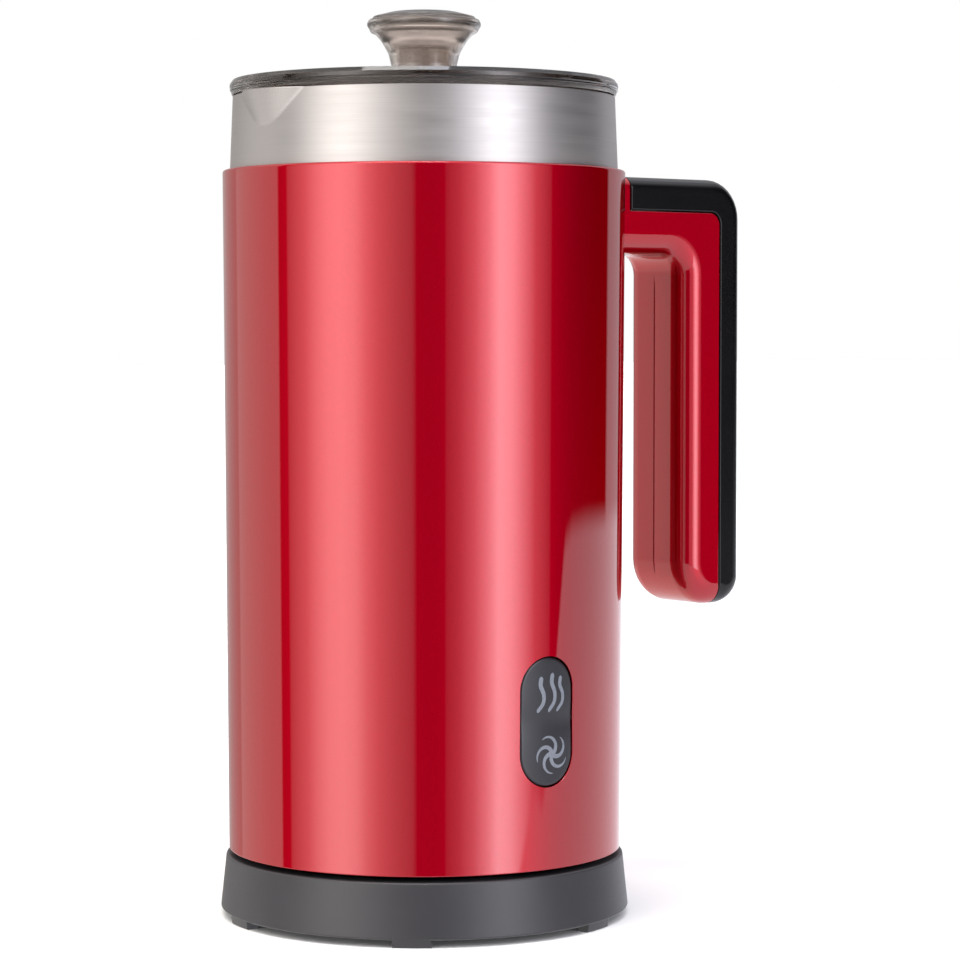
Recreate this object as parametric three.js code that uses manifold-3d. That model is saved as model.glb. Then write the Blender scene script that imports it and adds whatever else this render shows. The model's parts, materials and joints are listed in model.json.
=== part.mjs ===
// An electric milk frothing pitcher: a lacquered jug with a stainless pot, a clear lid and a magnetic
// whisk, standing on a round cordless power base. Millimetres, +Z up, z = 0 on the table.
// +X is the way the handle points, -Y the button panel, -X the pouring lip.
// The origin is the middle of the whole object's footprint, so the pitcher's own axis is at x = AXIS_X.
import * as THREE from "three";
import { mergeVertices } from "three/addons/utils/BufferGeometryUtils.js";
import Module from "manifold-3d";

const wasm = await Module();
wasm.setup();

// ---- Driving dimensions ----
const GAP = 0.3; // left between two pieces that touch
const TURN = 2 * Math.PI;

// Power base
const BASE_RADIUS = 55;
const BASE_TOP_RADIUS = 53.3;
const BASE_TOP = 16.5;
const FOOT_HEIGHT = 2;
const FOOT_COUNT = 6;
const FOOT_WIDTH = 10;
const FOOT_PHASE = THREE.MathUtils.degToRad(-130.5);
const FOOT_OUTER_RADIUS = 54.6;
const DECK_TOP = 14.5;
const DECK_RADIUS = 46;
const DECK_WALL = 2.5;
const BASE_INNER_RADIUS = 50.8;
const TOWER_RADIUS = 9;
const TOWER_TOP = 27.5;
const CORD_RADIUS = 2.4;
const CORD_HEIGHT = 8;

// Jug shell and pot
const SHELL_BOTTOM = 17.8;
const SHELL_TOP = 199.4;
const SHELL_BOTTOM_RADIUS = 52.7;
const SHELL_TOP_RADIUS = 53.9;
const SHELL_WALL = 1.2;
const POT_FLOOR = 80;
const POT_RADIUS = 47;
const POT_WALL = 0.8;
const POT_TOP = 218.95;
const COLLAR_BOTTOM_RADIUS = 51.9;
const COLLAR_TOP_RADIUS = 51.1;
const SPOUT_REACH = 3;
const SPOUT_DROP = 9.3;
const SPOUT_TIP_HALF_ANGLE = THREE.MathUtils.degToRad(5);
const SPOUT_HALF_ANGLE = THREE.MathUtils.degToRad(16);

// Handle, measured out from the jug's axis
const HANDLE_OUTER = 104;
const GRIP_INNER = 82;
const HANDLE_WIDTH = 26;
const HANDLE_TOP = 199.4;
const ARM_BOTTOM = 178;
const GRIP_BOTTOM = 78.7;
const BACK_THICKNESS = 8.6;
const ARM_COVER_THICKNESS = 9.3;
const BACK_START = 62;
const HANDLE_EDGE = 3;

// Button panel
const BUTTON_HEIGHT = 56.2;
const BUTTON_LONG = 34;
const BUTTON_WIDE = 17.7;
const BUTTON_CLEARANCE = 0.5;
const BUTTON_FACE_RADIUS = 52.5;
const PIVOT_DEPTH = 47.5;
const SWITCH_OFFSET = 11;

// Lid
const LID_RADIUS = 51.95;
const LID_BOTTOM = POT_TOP + GAP;
const LID_THICKNESS = 4.9;
const KNOB_RADIUS = 15.4;
const KNOB_TOP = 242.1;
const BOSS_RADIUS = 6.7;
const BOSS_TOP = 232.7;

// Drive under the pot, and the whisk over it
const COVER_BOTTOM = 18.2;
const COVER_TOP = 21.2;
const POST_CIRCLE = 33;
const POST_TOP = 63.2;
const BRACKET_BOTTOM = POST_TOP + GAP;
const BRACKET_TOP = BRACKET_BOTTOM + 2;
const MOTOR_RADIUS = 13;
const MAGNET_CIRCLE = 9;
const HEATER_CIRCLE = 32;
const HEATER_HEIGHT = 74;
const SENSOR_CIRCLE = 24.6;
const WHISK_CIRCLE = 17;
const WHISK_HEIGHT = 84.4;
const COIL_TURNS = 24;
const COIL_RADIUS = 2.5;
const WIRE_RADIUS = 0.45;

// The handle reaches further than the base does on the other side: the footprint's middle lies between.
const AXIS_X = (BASE_RADIUS - HANDLE_OUTER) / 2;

// Facets round a circle, by the size of the piece
const ROUND = 48;
const MEDIUM = 20;
const SMALL = 8;

// ---- Finishes ----
const FINISHES = {
  red_lacquer: { color: 0xb3101f, roughness: 0.25, metalness: 0.6 },
  base_plastic: { color: 0x4b4b4d, roughness: 0.55, metalness: 0 },
  black_plastic: { color: 0x1a1a1b, roughness: 0.4, metalness: 0 },
  button_plastic: { color: 0x2f3033, roughness: 0.5, metalness: 0 },
  brushed_steel: { color: 0xc4c2bf, roughness: 0.3, metalness: 1 },
  smoke_plastic: { color: 0x6e6763, roughness: 0.12, metalness: 0 },
  silicone: { color: 0xd8d6d2, roughness: 0.7, metalness: 0 },
  zinc_steel: { color: 0xb0b2b4, roughness: 0.35, metalness: 1 },
  contact_brass: { color: 0xc9a45c, roughness: 0.3, metalness: 1 },
  cast_aluminium: { color: 0xa9abad, roughness: 0.5, metalness: 1 },
  magnet_nickel: { color: 0xc9c9cc, roughness: 0.15, metalness: 1 },
  circuit_green: { color: 0x1f6b3a, roughness: 0.5, metalness: 0 },
  white_plastic: { color: 0xe6e4de, roughness: 0.5, metalness: 0 },
  wire_sleeve: { color: 0xd7d2c4, roughness: 0.7, metalness: 0 },
};

function material(name) {
  return new THREE.MeshStandardMaterial(FINISHES[name]);
}

function addPiece(group, name, geometry, finish) {
  const mesh = new THREE.Mesh(geometry, material(finish));
  mesh.name = name;
  group.add(mesh);
  return mesh;
}

// ---- Solids, joined and cut ----
function toSolid(geometry) {
  const bare = geometry.clone();
  bare.deleteAttribute("normal");
  bare.deleteAttribute("uv");
  const merged = mergeVertices(bare, 1e-4);
  const vertProperties = merged.attributes.position.array;
  const triVerts = new Uint32Array(merged.index.array);
  return new wasm.Manifold(new wasm.Mesh({ numProp: 3, vertProperties, triVerts }));
}

function toGeometry(solid) {
  const mesh = solid.getMesh();
  const geometry = new THREE.BufferGeometry();
  geometry.setAttribute("position", new THREE.BufferAttribute(mesh.vertProperties, 3));
  geometry.setIndex(new THREE.BufferAttribute(mesh.triVerts, 1));
  return geometry;
}

function joined(first, ...others) {
  return toGeometry(others.reduce((sum, other) => sum.add(toSolid(other)), toSolid(first)));
}

function cut(first, ...tools) {
  return toGeometry(tools.reduce((rest, tool) => rest.subtract(toSolid(tool)), toSolid(first)));
}

function common(first, second) {
  return toGeometry(toSolid(first).intersect(toSolid(second)));
}

// ---- Basic forms ----
// A profile of [radius, height] points, outwards along the bottom, up the outside and back in at the top.
function turned(profile, segments) {
  const points = profile.map(([radius, height]) => new THREE.Vector2(radius, height));
  return new THREE.LatheGeometry(points, segments).rotateX(TURN / 4);
}

function turnedRing(profile, segments) {
  return turned([...profile, profile[0]], segments);
}

function ring(inner, outer, bottom, top, segments) {
  return turnedRing([[inner, bottom], [outer, bottom], [outer, top], [inner, top]], segments);
}

function rod(radius, bottom, top, segments) {
  const length = top - bottom;
  return new THREE.CylinderGeometry(radius, radius, length, segments)
    .rotateX(TURN / 4)
    .translate(0, 0, bottom + length / 2);
}

// A rod that lies along X or Y, from one end to the other.
function rodAlongX(radius, from, to, y, z, segments) {
  return rod(radius, from, to, segments).rotateY(TURN / 4).translate(0, y, z);
}

function rodAlongY(radius, from, to, x, z, segments) {
  return rod(radius, from, to, segments).rotateX(-TURN / 4).translate(x, 0, z);
}

function block(low, high) {
  const size = high.map((value, i) => value - low[i]);
  const middle = high.map((value, i) => (value + low[i]) / 2);
  return new THREE.BoxGeometry(...size).translate(...middle);
}

// An outline in the XZ plane, extruded along Y.
function slab(shape, yLow, yHigh, curveSegments) {
  const options = { depth: yHigh - yLow, bevelEnabled: false, curveSegments };
  return new THREE.ExtrudeGeometry(shape, options).rotateX(TURN / 4).translate(0, yHigh, 0);
}

function stepTowards(from, to, distance) {
  const start = new THREE.Vector2(from[0], from[1]);
  const end = new THREE.Vector2(to[0], to[1]);
  return end.sub(start).setLength(distance).add(start);
}

// A closed outline through corners of [x, z, rounding].
function roundedOutline(corners) {
  const shape = new THREE.Shape();
  corners.forEach((corner, i) => {
    const [x, z, rounding] = corner;
    const before = stepTowards(corner, corners.at(i - 1), rounding);
    const after = stepTowards(corner, corners[(i + 1) % corners.length], rounding);
    if (i === 0) {
      shape.moveTo(before.x, before.y);
    } else {
      shape.lineTo(before.x, before.y);
    }
    if (rounding > 0) {
      shape.quadraticCurveTo(x, z, after.x, after.y);
    }
  });
  shape.closePath();
  return shape;
}

function pillOutline(length, width, height) {
  const radius = width / 2;
  const straight = length / 2 - radius;
  const shape = new THREE.Shape();
  shape.absarc(0, height + straight, radius, 0, TURN / 2, false);
  shape.absarc(0, height - straight, radius, TURN / 2, TURN, false);
  shape.closePath();
  return shape;
}

function onCircle(radius, angle) {
  return [radius * Math.cos(angle), radius * Math.sin(angle)];
}

// Angles of count things set evenly round the axis.
function evenly(count, phase = 0) {
  return Array.from({ length: count }, (_, i) => phase + (i * TURN) / count);
}

// A countersunk-size screw with a hexagon socket: its head's underside is at z = 0, its shank points up.
function screw(headRadius, shankRadius, length) {
  const headHeight = 1.2;
  const point = 0.6;
  const body = turned(
    [
      [0, -headHeight],
      [headRadius, -headHeight],
      [headRadius, 0],
      [shankRadius, 0],
      [shankRadius, length - point],
      [shankRadius - point, length],
      [0, length],
    ],
    SMALL,
  );
  return cut(body, rod(headRadius * 0.5, -2 * headHeight, -headHeight * 0.4, 6));
}

// ---- Power base ----
const BASE_SCREW_CIRCLE = 38;
const BASE_SCREW_PHASE = TURN / 12;
const BASE_SCREW_HOLE = 1.5;
const PLATE_TOP = 4;

function footTab(angle) {
  const half = FOOT_WIDTH / 2;
  const tab = block([BASE_INNER_RADIUS + 0.7, -half, 0], [BASE_RADIUS + 2, half, FOOT_HEIGHT + 1]);
  return common(tab, rod(FOOT_OUTER_RADIUS, -1, FOOT_HEIGHT + 2, ROUND)).rotateZ(angle);
}

function baseScrewBoss(angle) {
  const [x, y] = onCircle(BASE_SCREW_CIRCLE, angle);
  return rod(3.4, PLATE_TOP + GAP, DECK_TOP - DECK_WALL + 0.5, SMALL).translate(x, y, 0);
}

function baseScrewHole(angle) {
  const [x, y] = onCircle(BASE_SCREW_CIRCLE, angle);
  return rod(BASE_SCREW_HOLE, 0, DECK_TOP - DECK_WALL - 0.5, SMALL).translate(x, y, 0);
}

function baseShell() {
  const wall = turnedRing(
    [
      [BASE_INNER_RADIUS, FOOT_HEIGHT],
      [BASE_RADIUS, FOOT_HEIGHT],
      [BASE_TOP_RADIUS + 0.1, BASE_TOP - 1],
      [BASE_TOP_RADIUS - 0.3, BASE_TOP - 0.3],
      [BASE_TOP_RADIUS - 1, BASE_TOP],
      [DECK_RADIUS + 1, BASE_TOP],
      [DECK_RADIUS, DECK_TOP],
      [16, DECK_TOP],
      [16, DECK_TOP - DECK_WALL],
      [BASE_INNER_RADIUS, DECK_TOP - DECK_WALL],
    ],
    ROUND,
  );
  const tabs = evenly(FOOT_COUNT, FOOT_PHASE).map(footTab);
  const screws = evenly(3, BASE_SCREW_PHASE);
  const whole = joined(wall, ...tabs, ...screws.map(baseScrewBoss));
  const cordHole = rodAlongY(CORD_RADIUS + 1.1, BASE_INNER_RADIUS - 3, BASE_RADIUS + 1, 0, CORD_HEIGHT, SMALL);
  return cut(whole, ...screws.map(baseScrewHole), cordHole);
}

function basePlate() {
  const disc = rod(BASE_INNER_RADIUS - 0.4, FOOT_HEIGHT, PLATE_TOP, ROUND);
  return cut(disc, ...evenly(3, BASE_SCREW_PHASE).map(baseScrewHole));
}

function baseConnector() {
  const bore = 2.3;
  const well = 6.7;
  return turnedRing(
    [
      [bore, 9.2],
      [19, 9.2],
      [19, DECK_TOP - DECK_WALL - GAP],
      [15.6, DECK_TOP - DECK_WALL - GAP],
      [15.6, 15.6],
      [15.2, 16],
      [TOWER_RADIUS + 0.6, 16.2],
      [TOWER_RADIUS, 16.8],
      [TOWER_RADIUS, TOWER_TOP - 0.5],
      [TOWER_RADIUS - 0.5, TOWER_TOP],
      [well, TOWER_TOP],
      [well, 19.5],
      [bore, 19.5],
    ],
    MEDIUM,
  );
}

function contactPin() {
  return turned([[0, PLATE_TOP + 4], [2, PLATE_TOP + 4], [2, 25], [1.2, 26], [0, 26]], SMALL);
}

function cordGland() {
  const neck = CORD_RADIUS + 0.8;
  const flange = neck + 0.5;
  const body = joined(
    rodAlongY(flange, 47.5, BASE_INNER_RADIUS - 0.6, 0, CORD_HEIGHT, SMALL),
    rodAlongY(neck, 48, 54, 0, CORD_HEIGHT, SMALL),
  );
  return cut(body, rodAlongY(CORD_RADIUS, 46, 56, 0, CORD_HEIGHT, SMALL));
}

function addPowerBase(root) {
  const group = new THREE.Group();
  root.add(group);
  addPiece(group, "base_shell", baseShell(), "base_plastic");
  addPiece(group, "base_plate", basePlate(), "black_plastic");
  addPiece(group, "base_connector", baseConnector(), "black_plastic");
  addPiece(group, "contact_ring", ring(5.9, 6.4, 19.8, 27, MEDIUM), "contact_brass");
  addPiece(group, "contact_pin", contactPin(), "contact_brass");
  addPiece(group, "cord_gland", cordGland(), "black_plastic");
  evenly(3, BASE_SCREW_PHASE).forEach((angle, i) => {
    const piece = addPiece(group, `base_screw_${i + 1}`, screw(2.6, 1.2, 9), "zinc_steel");
    const [x, y] = onCircle(BASE_SCREW_CIRCLE, angle);
    piece.position.set(x, y, FOOT_HEIGHT - GAP);
  });
}

// ---- Jug: shell, pot and bottom ----
function shellRadiusAt(height) {
  const along = (height - SHELL_BOTTOM) / (SHELL_TOP - SHELL_BOTTOM);
  return THREE.MathUtils.lerp(SHELL_BOTTOM_RADIUS, SHELL_TOP_RADIUS, along);
}

const HANDLE_SCREW_HEIGHT = 184;
const HANDLE_SCREW_OFFSETS = [-7, 7];

function outerShell() {
  const lip = COLLAR_BOTTOM_RADIUS + 0.4;
  const skin = turnedRing(
    [
      [SHELL_BOTTOM_RADIUS - SHELL_WALL, SHELL_BOTTOM],
      [SHELL_BOTTOM_RADIUS - 0.2, SHELL_BOTTOM],
      [SHELL_BOTTOM_RADIUS, SHELL_BOTTOM + 0.4],
      [SHELL_TOP_RADIUS, SHELL_TOP - 1],
      [SHELL_TOP_RADIUS - 0.2, SHELL_TOP - 0.4],
      [SHELL_TOP_RADIUS - 0.7, SHELL_TOP],
      [lip, SHELL_TOP - 0.2],
      [lip, SHELL_TOP - 1.8],
      [SHELL_TOP_RADIUS - SHELL_WALL, SHELL_TOP - 2.4],
    ],
    ROUND,
  );
  const pill = slab(pillOutline(BUTTON_LONG, BUTTON_WIDE, BUTTON_HEIGHT), -60, -40, 8);
  const screwHoles = HANDLE_SCREW_OFFSETS.map((y) =>
    rodAlongX(1.9, 45, 60, y, HANDLE_SCREW_HEIGHT, SMALL),
  );
  return cut(skin, pill, ...screwHoles);
}

// How far the pouring lip pushes the pot's wall out, at an angle from the lip's middle and a height.
function spoutPush(angle, height) {
  const flank = SPOUT_HALF_ANGLE - SPOUT_TIP_HALF_ANGLE;
  const across = THREE.MathUtils.clamp((SPOUT_HALF_ANGLE - Math.abs(angle)) / flank, 0, 1);
  const up = THREE.MathUtils.clamp(1 - (POT_TOP - height) / SPOUT_DROP, 0, 1);
  return SPOUT_REACH * across * up;
}

function pot() {
  const floorCorner = 3;
  const shoulder = 186;
  const collarBottom = 194;
  const lipBottom = POT_TOP - SPOUT_DROP;
  const lipBottomRadius = THREE.MathUtils.lerp(COLLAR_TOP_RADIUS, COLLAR_BOTTOM_RADIUS, 0.5);
  const outside = [
    [POT_RADIUS - floorCorner, POT_FLOOR],
    [POT_RADIUS - 0.9, POT_FLOOR + 0.9],
    [POT_RADIUS, POT_FLOOR + floorCorner],
    [POT_RADIUS, shoulder],
    [COLLAR_BOTTOM_RADIUS - 0.3, collarBottom],
    [COLLAR_BOTTOM_RADIUS, SHELL_TOP],
    [lipBottomRadius, lipBottom],
    [COLLAR_TOP_RADIUS, POT_TOP],
  ];
  const inside = outside.map(([radius, height], i) => [
    radius - POT_WALL,
    i < 2 ? height + POT_WALL : height,
  ]);
  const profile = [[0, POT_FLOOR], ...outside, ...inside.reverse(), [0, POT_FLOOR + POT_WALL]];
  const geometry = turned(profile, ROUND);
  const position = geometry.getAttribute("position");
  for (let i = 0; i < position.count; i += 1) {
    const [x, y, z] = [position.getX(i), position.getY(i), position.getZ(i)];
    const fromSpout = Math.atan2(y, -x);
    const radius = Math.hypot(x, y);
    const push = radius > POT_RADIUS ? spoutPush(fromSpout, z) : 0;
    position.setXY(i, x * (1 + push / Math.max(radius, 1)), y * (1 + push / Math.max(radius, 1)));
  }
  return geometry;
}

function coverPost(angle) {
  const [x, y] = onCircle(POST_CIRCLE, angle);
  return rod(3.4, COVER_TOP - 0.5, POST_TOP, SMALL).translate(x, y, 0);
}

function coverPostHoles(angle) {
  const [x, y] = onCircle(POST_CIRCLE, angle);
  return [
    rod(3.1, COVER_BOTTOM - 1, COVER_BOTTOM + 1.5, SMALL).translate(x, y, 0),
    rod(1.5, COVER_BOTTOM, 34, SMALL).translate(x, y, 0),
    rod(1.5, 52, POST_TOP + 1, SMALL).translate(x, y, 0),
  ];
}

// A pair of slotted ribs hold the control board upright.
const BOARD_BACK = -30.4;
const BOARD_THICKNESS = 1.6;
const BOARD_HALF_WIDTH = 24;

function boardRib(side) {
  const [near, far] = [BOARD_HALF_WIDTH - 2, BOARD_HALF_WIDTH + 2];
  const xs = [side * near, side * far].sort((a, b) => a - b);
  return block([xs[0], -34, COVER_TOP - 0.5], [xs[1], -28.4, COVER_TOP + 9]);
}

function boardSlot() {
  const reach = BOARD_HALF_WIDTH + GAP;
  return block(
    [-reach, BOARD_BACK - BOARD_THICKNESS - GAP, COVER_TOP],
    [reach, BOARD_BACK + GAP, COVER_TOP + 12],
  );
}

function jugBottomCover() {
  const footInner = 40;
  const footOuter = 44;
  const disc = turnedRing(
    [
      [14.4, COVER_BOTTOM],
      [footInner, COVER_BOTTOM],
      [footInner, DECK_TOP + GAP],
      [footOuter, DECK_TOP + GAP],
      [footOuter, COVER_BOTTOM],
      [SHELL_BOTTOM_RADIUS - SHELL_WALL - 0.4, COVER_BOTTOM],
      [SHELL_BOTTOM_RADIUS - SHELL_WALL - 0.4, COVER_TOP],
      [14.4, COVER_TOP],
    ],
    ROUND,
  );
  const posts = evenly(3, TURN / 4);
  const whole = joined(disc, ...posts.map(coverPost), boardRib(-1), boardRib(1));
  return cut(whole, ...posts.flatMap(coverPostHoles), boardSlot());
}

// The jug's half of the connector is round all through, so the jug seats at any angle.
function jugConnector() {
  const socket = TOWER_RADIUS + 0.4;
  return turned(
    [
      [0, 27],
      [2.4, 27],
      [2.4, 20.5],
      [5.5, 20.5],
      [5.5, 28.2],
      [socket, 28.2],
      [socket, COVER_BOTTOM + 0.1],
      [14, COVER_BOTTOM + 0.1],
      [14, COVER_TOP + GAP],
      [18, COVER_TOP + GAP],
      [18, COVER_TOP + 2.3],
      [14, COVER_TOP + 2.3],
      [14, 31],
      [0, 31],
    ],
    MEDIUM,
  );
}

function addJug(root) {
  const group = new THREE.Group();
  root.add(group);
  addPiece(group, "jug_connector", jugConnector(), "black_plastic");
  addPiece(group, "outer_shell", outerShell(), "red_lacquer");
  addPiece(group, "pot", pot(), "brushed_steel");
  addPiece(group, "jug_bottom_cover", jugBottomCover(), "black_plastic");
  evenly(3, TURN / 4).forEach((angle, i) => {
    const [x, y] = onCircle(POST_CIRCLE, angle);
    const lower = addPiece(group, `cover_screw_${i + 1}`, screw(2.7, 1.2, 12), "zinc_steel");
    lower.position.set(x, y, COVER_BOTTOM + 1.5 - GAP);
    const upper = addPiece(group, `bracket_screw_${i + 1}`, screw(2.7, 1.2, 10), "zinc_steel");
    upper.position.set(x, y, BRACKET_TOP + GAP);
    upper.rotation.x = TURN / 2;
  });
}

// ---- Drive and heater, between the jug's bottom and the pot's floor ----
const MOTOR_BOTTOM = 40;
const MOTOR_TOP = BRACKET_BOTTOM - 0.5;
const MOTOR_SCREW_CIRCLE = 9;
const LEAD_END = [13.5, -29];

function motorCan() {
  const can = turnedRing(
    [
      [1.8, MOTOR_BOTTOM],
      [MOTOR_RADIUS - 0.8, MOTOR_BOTTOM],
      [MOTOR_RADIUS, MOTOR_BOTTOM + 0.8],
      [MOTOR_RADIUS, MOTOR_TOP - 0.8],
      [MOTOR_RADIUS - 0.8, MOTOR_TOP],
      [1.8, MOTOR_TOP],
    ],
    MEDIUM,
  );
  const holes = evenly(2).map((angle) => {
    const [x, y] = onCircle(MOTOR_SCREW_CIRCLE, angle);
    return rod(1.3, MOTOR_TOP - 6, MOTOR_TOP + 1, SMALL).translate(x, y, 0);
  });
  return cut(can, ...holes);
}

function motorBracket() {
  const hole = (radius, x, y) =>
    rod(radius, BRACKET_BOTTOM - 1, BRACKET_TOP + 1, SMALL).translate(x, y, 0);
  const posts = evenly(3, TURN / 4).map((angle) => hole(1.5, ...onCircle(POST_CIRCLE, angle)));
  const motor = evenly(2).map((angle) => hole(1.4, ...onCircle(MOTOR_SCREW_CIRCLE, angle)));
  const leads = [-1, 1].map((side) => hole(2, side * LEAD_END[0], LEAD_END[1]));
  const disc = ring(6, 37.5, BRACKET_BOTTOM, BRACKET_TOP, ROUND);
  return cut(disc, ...posts, ...motor, ...leads);
}

function heaterElement() {
  const opening = TURN / 14;
  const tubeRadius = 2.4;
  const path = new THREE.CatmullRomCurve3(
    Array.from({ length: 25 }, (_, i) => {
      const angle = -TURN / 4 + opening + (i / 24) * (TURN - 2 * opening);
      return new THREE.Vector3(...onCircle(HEATER_CIRCLE, angle), HEATER_HEIGHT);
    }),
  );
  const section = new THREE.Shape().absarc(0, 0, tubeRadius, 0, TURN, false);
  const options = { steps: 28, extrudePath: path, curveSegments: 4 };
  return new THREE.ExtrudeGeometry(section, options);
}

// Leads run from the control board's terminals up to the two ends of the heater.
function heaterLead(side) {
  const [x, y] = [side * LEAD_END[0], LEAD_END[1]];
  const path = new THREE.CatmullRomCurve3([
    new THREE.Vector3(side * 4.5, -26, 48.3),
    new THREE.Vector3(side * 5, -26, 51),
    new THREE.Vector3(x, y, 60),
    new THREE.Vector3(x, y, HEATER_HEIGHT - 2.7),
  ]);
  const section = new THREE.Shape().absarc(0, 0, 0.9, 0, TURN, false);
  return new THREE.ExtrudeGeometry(section, { steps: 8, extrudePath: path, curveSegments: 3 });
}

function sensorAt(angle, geometry) {
  const [x, y] = onCircle(SENSOR_CIRCLE, angle);
  return geometry.translate(x, y, 0);
}

function addDrive(root) {
  const group = new THREE.Group();
  root.add(group);
  const sensorTop = HEATER_HEIGHT + 2.4;
  addPiece(group, "motor_bracket", motorBracket(), "zinc_steel");
  addPiece(group, "motor_can", motorCan(), "zinc_steel");
  evenly(2).forEach((angle, i) => {
    const piece = addPiece(group, `motor_screw_${i + 1}`, screw(2.2, 1, 7), "zinc_steel");
    piece.position.set(...onCircle(MOTOR_SCREW_CIRCLE, angle), BRACKET_TOP + GAP);
    piece.rotation.x = TURN / 2;
  });
  const spreader = ring(20, 37.5, sensorTop + GAP, POT_FLOOR - GAP, ROUND);
  addPiece(group, "heat_spreader", spreader, "cast_aluminium");
  addPiece(group, "heater_element", heaterElement(), "cast_aluminium");
  const thermostat = joined(
    rod(4.2, sensorTop - 5, sensorTop, MEDIUM),
    rod(2, sensorTop - 8, sensorTop - 4, SMALL),
  );
  addPiece(group, "thermostat", sensorAt(TURN / 4, thermostat), "white_plastic");
  const sensor = rod(2, sensorTop - 6, sensorTop, SMALL);
  addPiece(group, "temperature_sensor", sensorAt(TURN / 2, sensor), "contact_brass");
  const fuse = rodAlongY(1.8, -6, 6, 0, sensorTop - 2, SMALL);
  addPiece(group, "thermal_fuse", sensorAt(0, fuse), "white_plastic");
  [-1, 1].forEach((side, i) => {
    addPiece(group, `heater_lead_${i + 1}`, heaterLead(side), "wire_sleeve");
  });
}

function addElectronics(root) {
  const group = new THREE.Group();
  root.add(group);
  const front = BOARD_BACK + GAP;
  const board = block(
    [-BOARD_HALF_WIDTH, BOARD_BACK - BOARD_THICKNESS, COVER_TOP + GAP],
    [BOARD_HALF_WIDTH, BOARD_BACK, 52],
  );
  addPiece(group, "control_board", board, "circuit_green");
  addPiece(group, "relay", block([-21, front, 34], [-9, front + 9, 50]), "white_plastic");
  addPiece(group, "terminal_block", block([-7, front, 40], [7, front + 8, 48]), "white_plastic");
  const capacitor = rod(4, 32, 46, SMALL).translate(15, front + 4, 0);
  addPiece(group, "capacitor", capacitor, "black_plastic");
}

// ---- Rocker button ----
function rockerButton() {
  const plateBack = -49;
  const pill = pillOutline(
    BUTTON_LONG - 2 * BUTTON_CLEARANCE,
    BUTTON_WIDE - 2 * BUTTON_CLEARANCE,
    BUTTON_HEIGHT,
  );
  const plate = common(slab(pill, -60, plateBack, 8), rod(BUTTON_FACE_RADIUS, 0, 100, 2 * ROUND));
  const rib = block([-7, plateBack - 0.2, BUTTON_HEIGHT - 3.5], [7, -45.2, BUTTON_HEIGHT + 3.5]);
  const nubs = [-SWITCH_OFFSET, SWITCH_OFFSET].map((offset) =>
    rodAlongY(1.5, plateBack - 0.2, plateBack + 0.8, 0, BUTTON_HEIGHT + offset, SMALL),
  );
  const bore = rodAlongX(1.3, -9, 9, -PIVOT_DEPTH, BUTTON_HEIGHT, SMALL);
  return cut(joined(plate, rib, ...nubs), bore);
}

function buttonHousing() {
  const [halfWidth, halfHeight, wall] = [13, 21.8, 1.8];
  const [front, back] = [-49, -39.5];
  const outer = block(
    [-halfWidth, front, BUTTON_HEIGHT - halfHeight],
    [halfWidth, back, BUTTON_HEIGHT + halfHeight],
  );
  const inner = block(
    [wall - halfWidth, front - 1, BUTTON_HEIGHT - halfHeight + wall],
    [halfWidth - wall, back - 1.5, BUTTON_HEIGHT + halfHeight - wall],
  );
  const pinHole = rodAlongX(1.3, -20, 20, -PIVOT_DEPTH, BUTTON_HEIGHT, SMALL);
  return cut(outer, inner, pinHole);
}

function tactSwitch(offset) {
  const height = BUTTON_HEIGHT + offset;
  const body = block([-3, -46.4, height - 3], [3, -43.2, height + 3]);
  return joined(body, rodAlongY(1.6, -47.4, -46, 0, height, SMALL));
}

function addButton(root) {
  const group = new THREE.Group();
  root.add(group);
  addPiece(group, "button_rocker", rockerButton(), "button_plastic");
  addPiece(group, "button_housing", buttonHousing(), "black_plastic");
  const board = block([-10.5, -42.9, BUTTON_HEIGHT - 19], [10.5, -41.3, BUTTON_HEIGHT + 19]);
  addPiece(group, "switch_board", board, "circuit_green");
  addPiece(group, "heat_switch", tactSwitch(SWITCH_OFFSET), "black_plastic");
  addPiece(group, "froth_switch", tactSwitch(-SWITCH_OFFSET), "black_plastic");
  const pin = rodAlongX(1, -12.8, 12.8, -PIVOT_DEPTH, BUTTON_HEIGHT, SMALL);
  addPiece(group, "rocker_pin", pin, "zinc_steel");
}

// ---- Handle ----
const SEAM = GAP / 2;
const WALL_INSIDE = 3.5; // from the handle's side face to its hollow

function wholeHandle() {
  const root = 48;
  const outline = roundedOutline([
    [root, ARM_BOTTOM, 0],
    [GRIP_INNER, ARM_BOTTOM, 5.5],
    [GRIP_INNER, GRIP_BOTTOM, 12.5],
    [HANDLE_OUTER, GRIP_BOTTOM, 9],
    [HANDLE_OUTER, HANDLE_TOP, 11],
    [root, HANDLE_TOP, 0],
  ]);
  const geometry = new THREE.ExtrudeGeometry(outline, {
    depth: HANDLE_WIDTH - 2 * HANDLE_EDGE,
    bevelThickness: HANDLE_EDGE,
    bevelSize: HANDLE_EDGE,
    bevelOffset: -HANDLE_EDGE,
    bevelSegments: 3,
    curveSegments: 6,
  });
  return geometry.rotateX(TURN / 4).translate(0, HANDLE_WIDTH / 2 - HANDLE_EDGE, 0);
}

// The black cover's share of the handle: over the arm and down the back of the grip.
function backRegion(offset) {
  const seamX = HANDLE_OUTER - BACK_THICKNESS + offset;
  const seamZ = HANDLE_TOP - ARM_COVER_THICKNESS + offset;
  const outline = roundedOutline([
    [BACK_START + offset, seamZ, 0],
    [seamX, seamZ, 3.5],
    [seamX, GRIP_BOTTOM - 10, 0],
    [HANDLE_OUTER + 10, GRIP_BOTTOM - 10, 0],
    [HANDLE_OUTER + 10, HANDLE_TOP + 10, 0],
    [BACK_START + offset, HANDLE_TOP + 10, 0],
  ]);
  return slab(outline, -HANDLE_WIDTH, HANDLE_WIDTH, 6);
}

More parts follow.
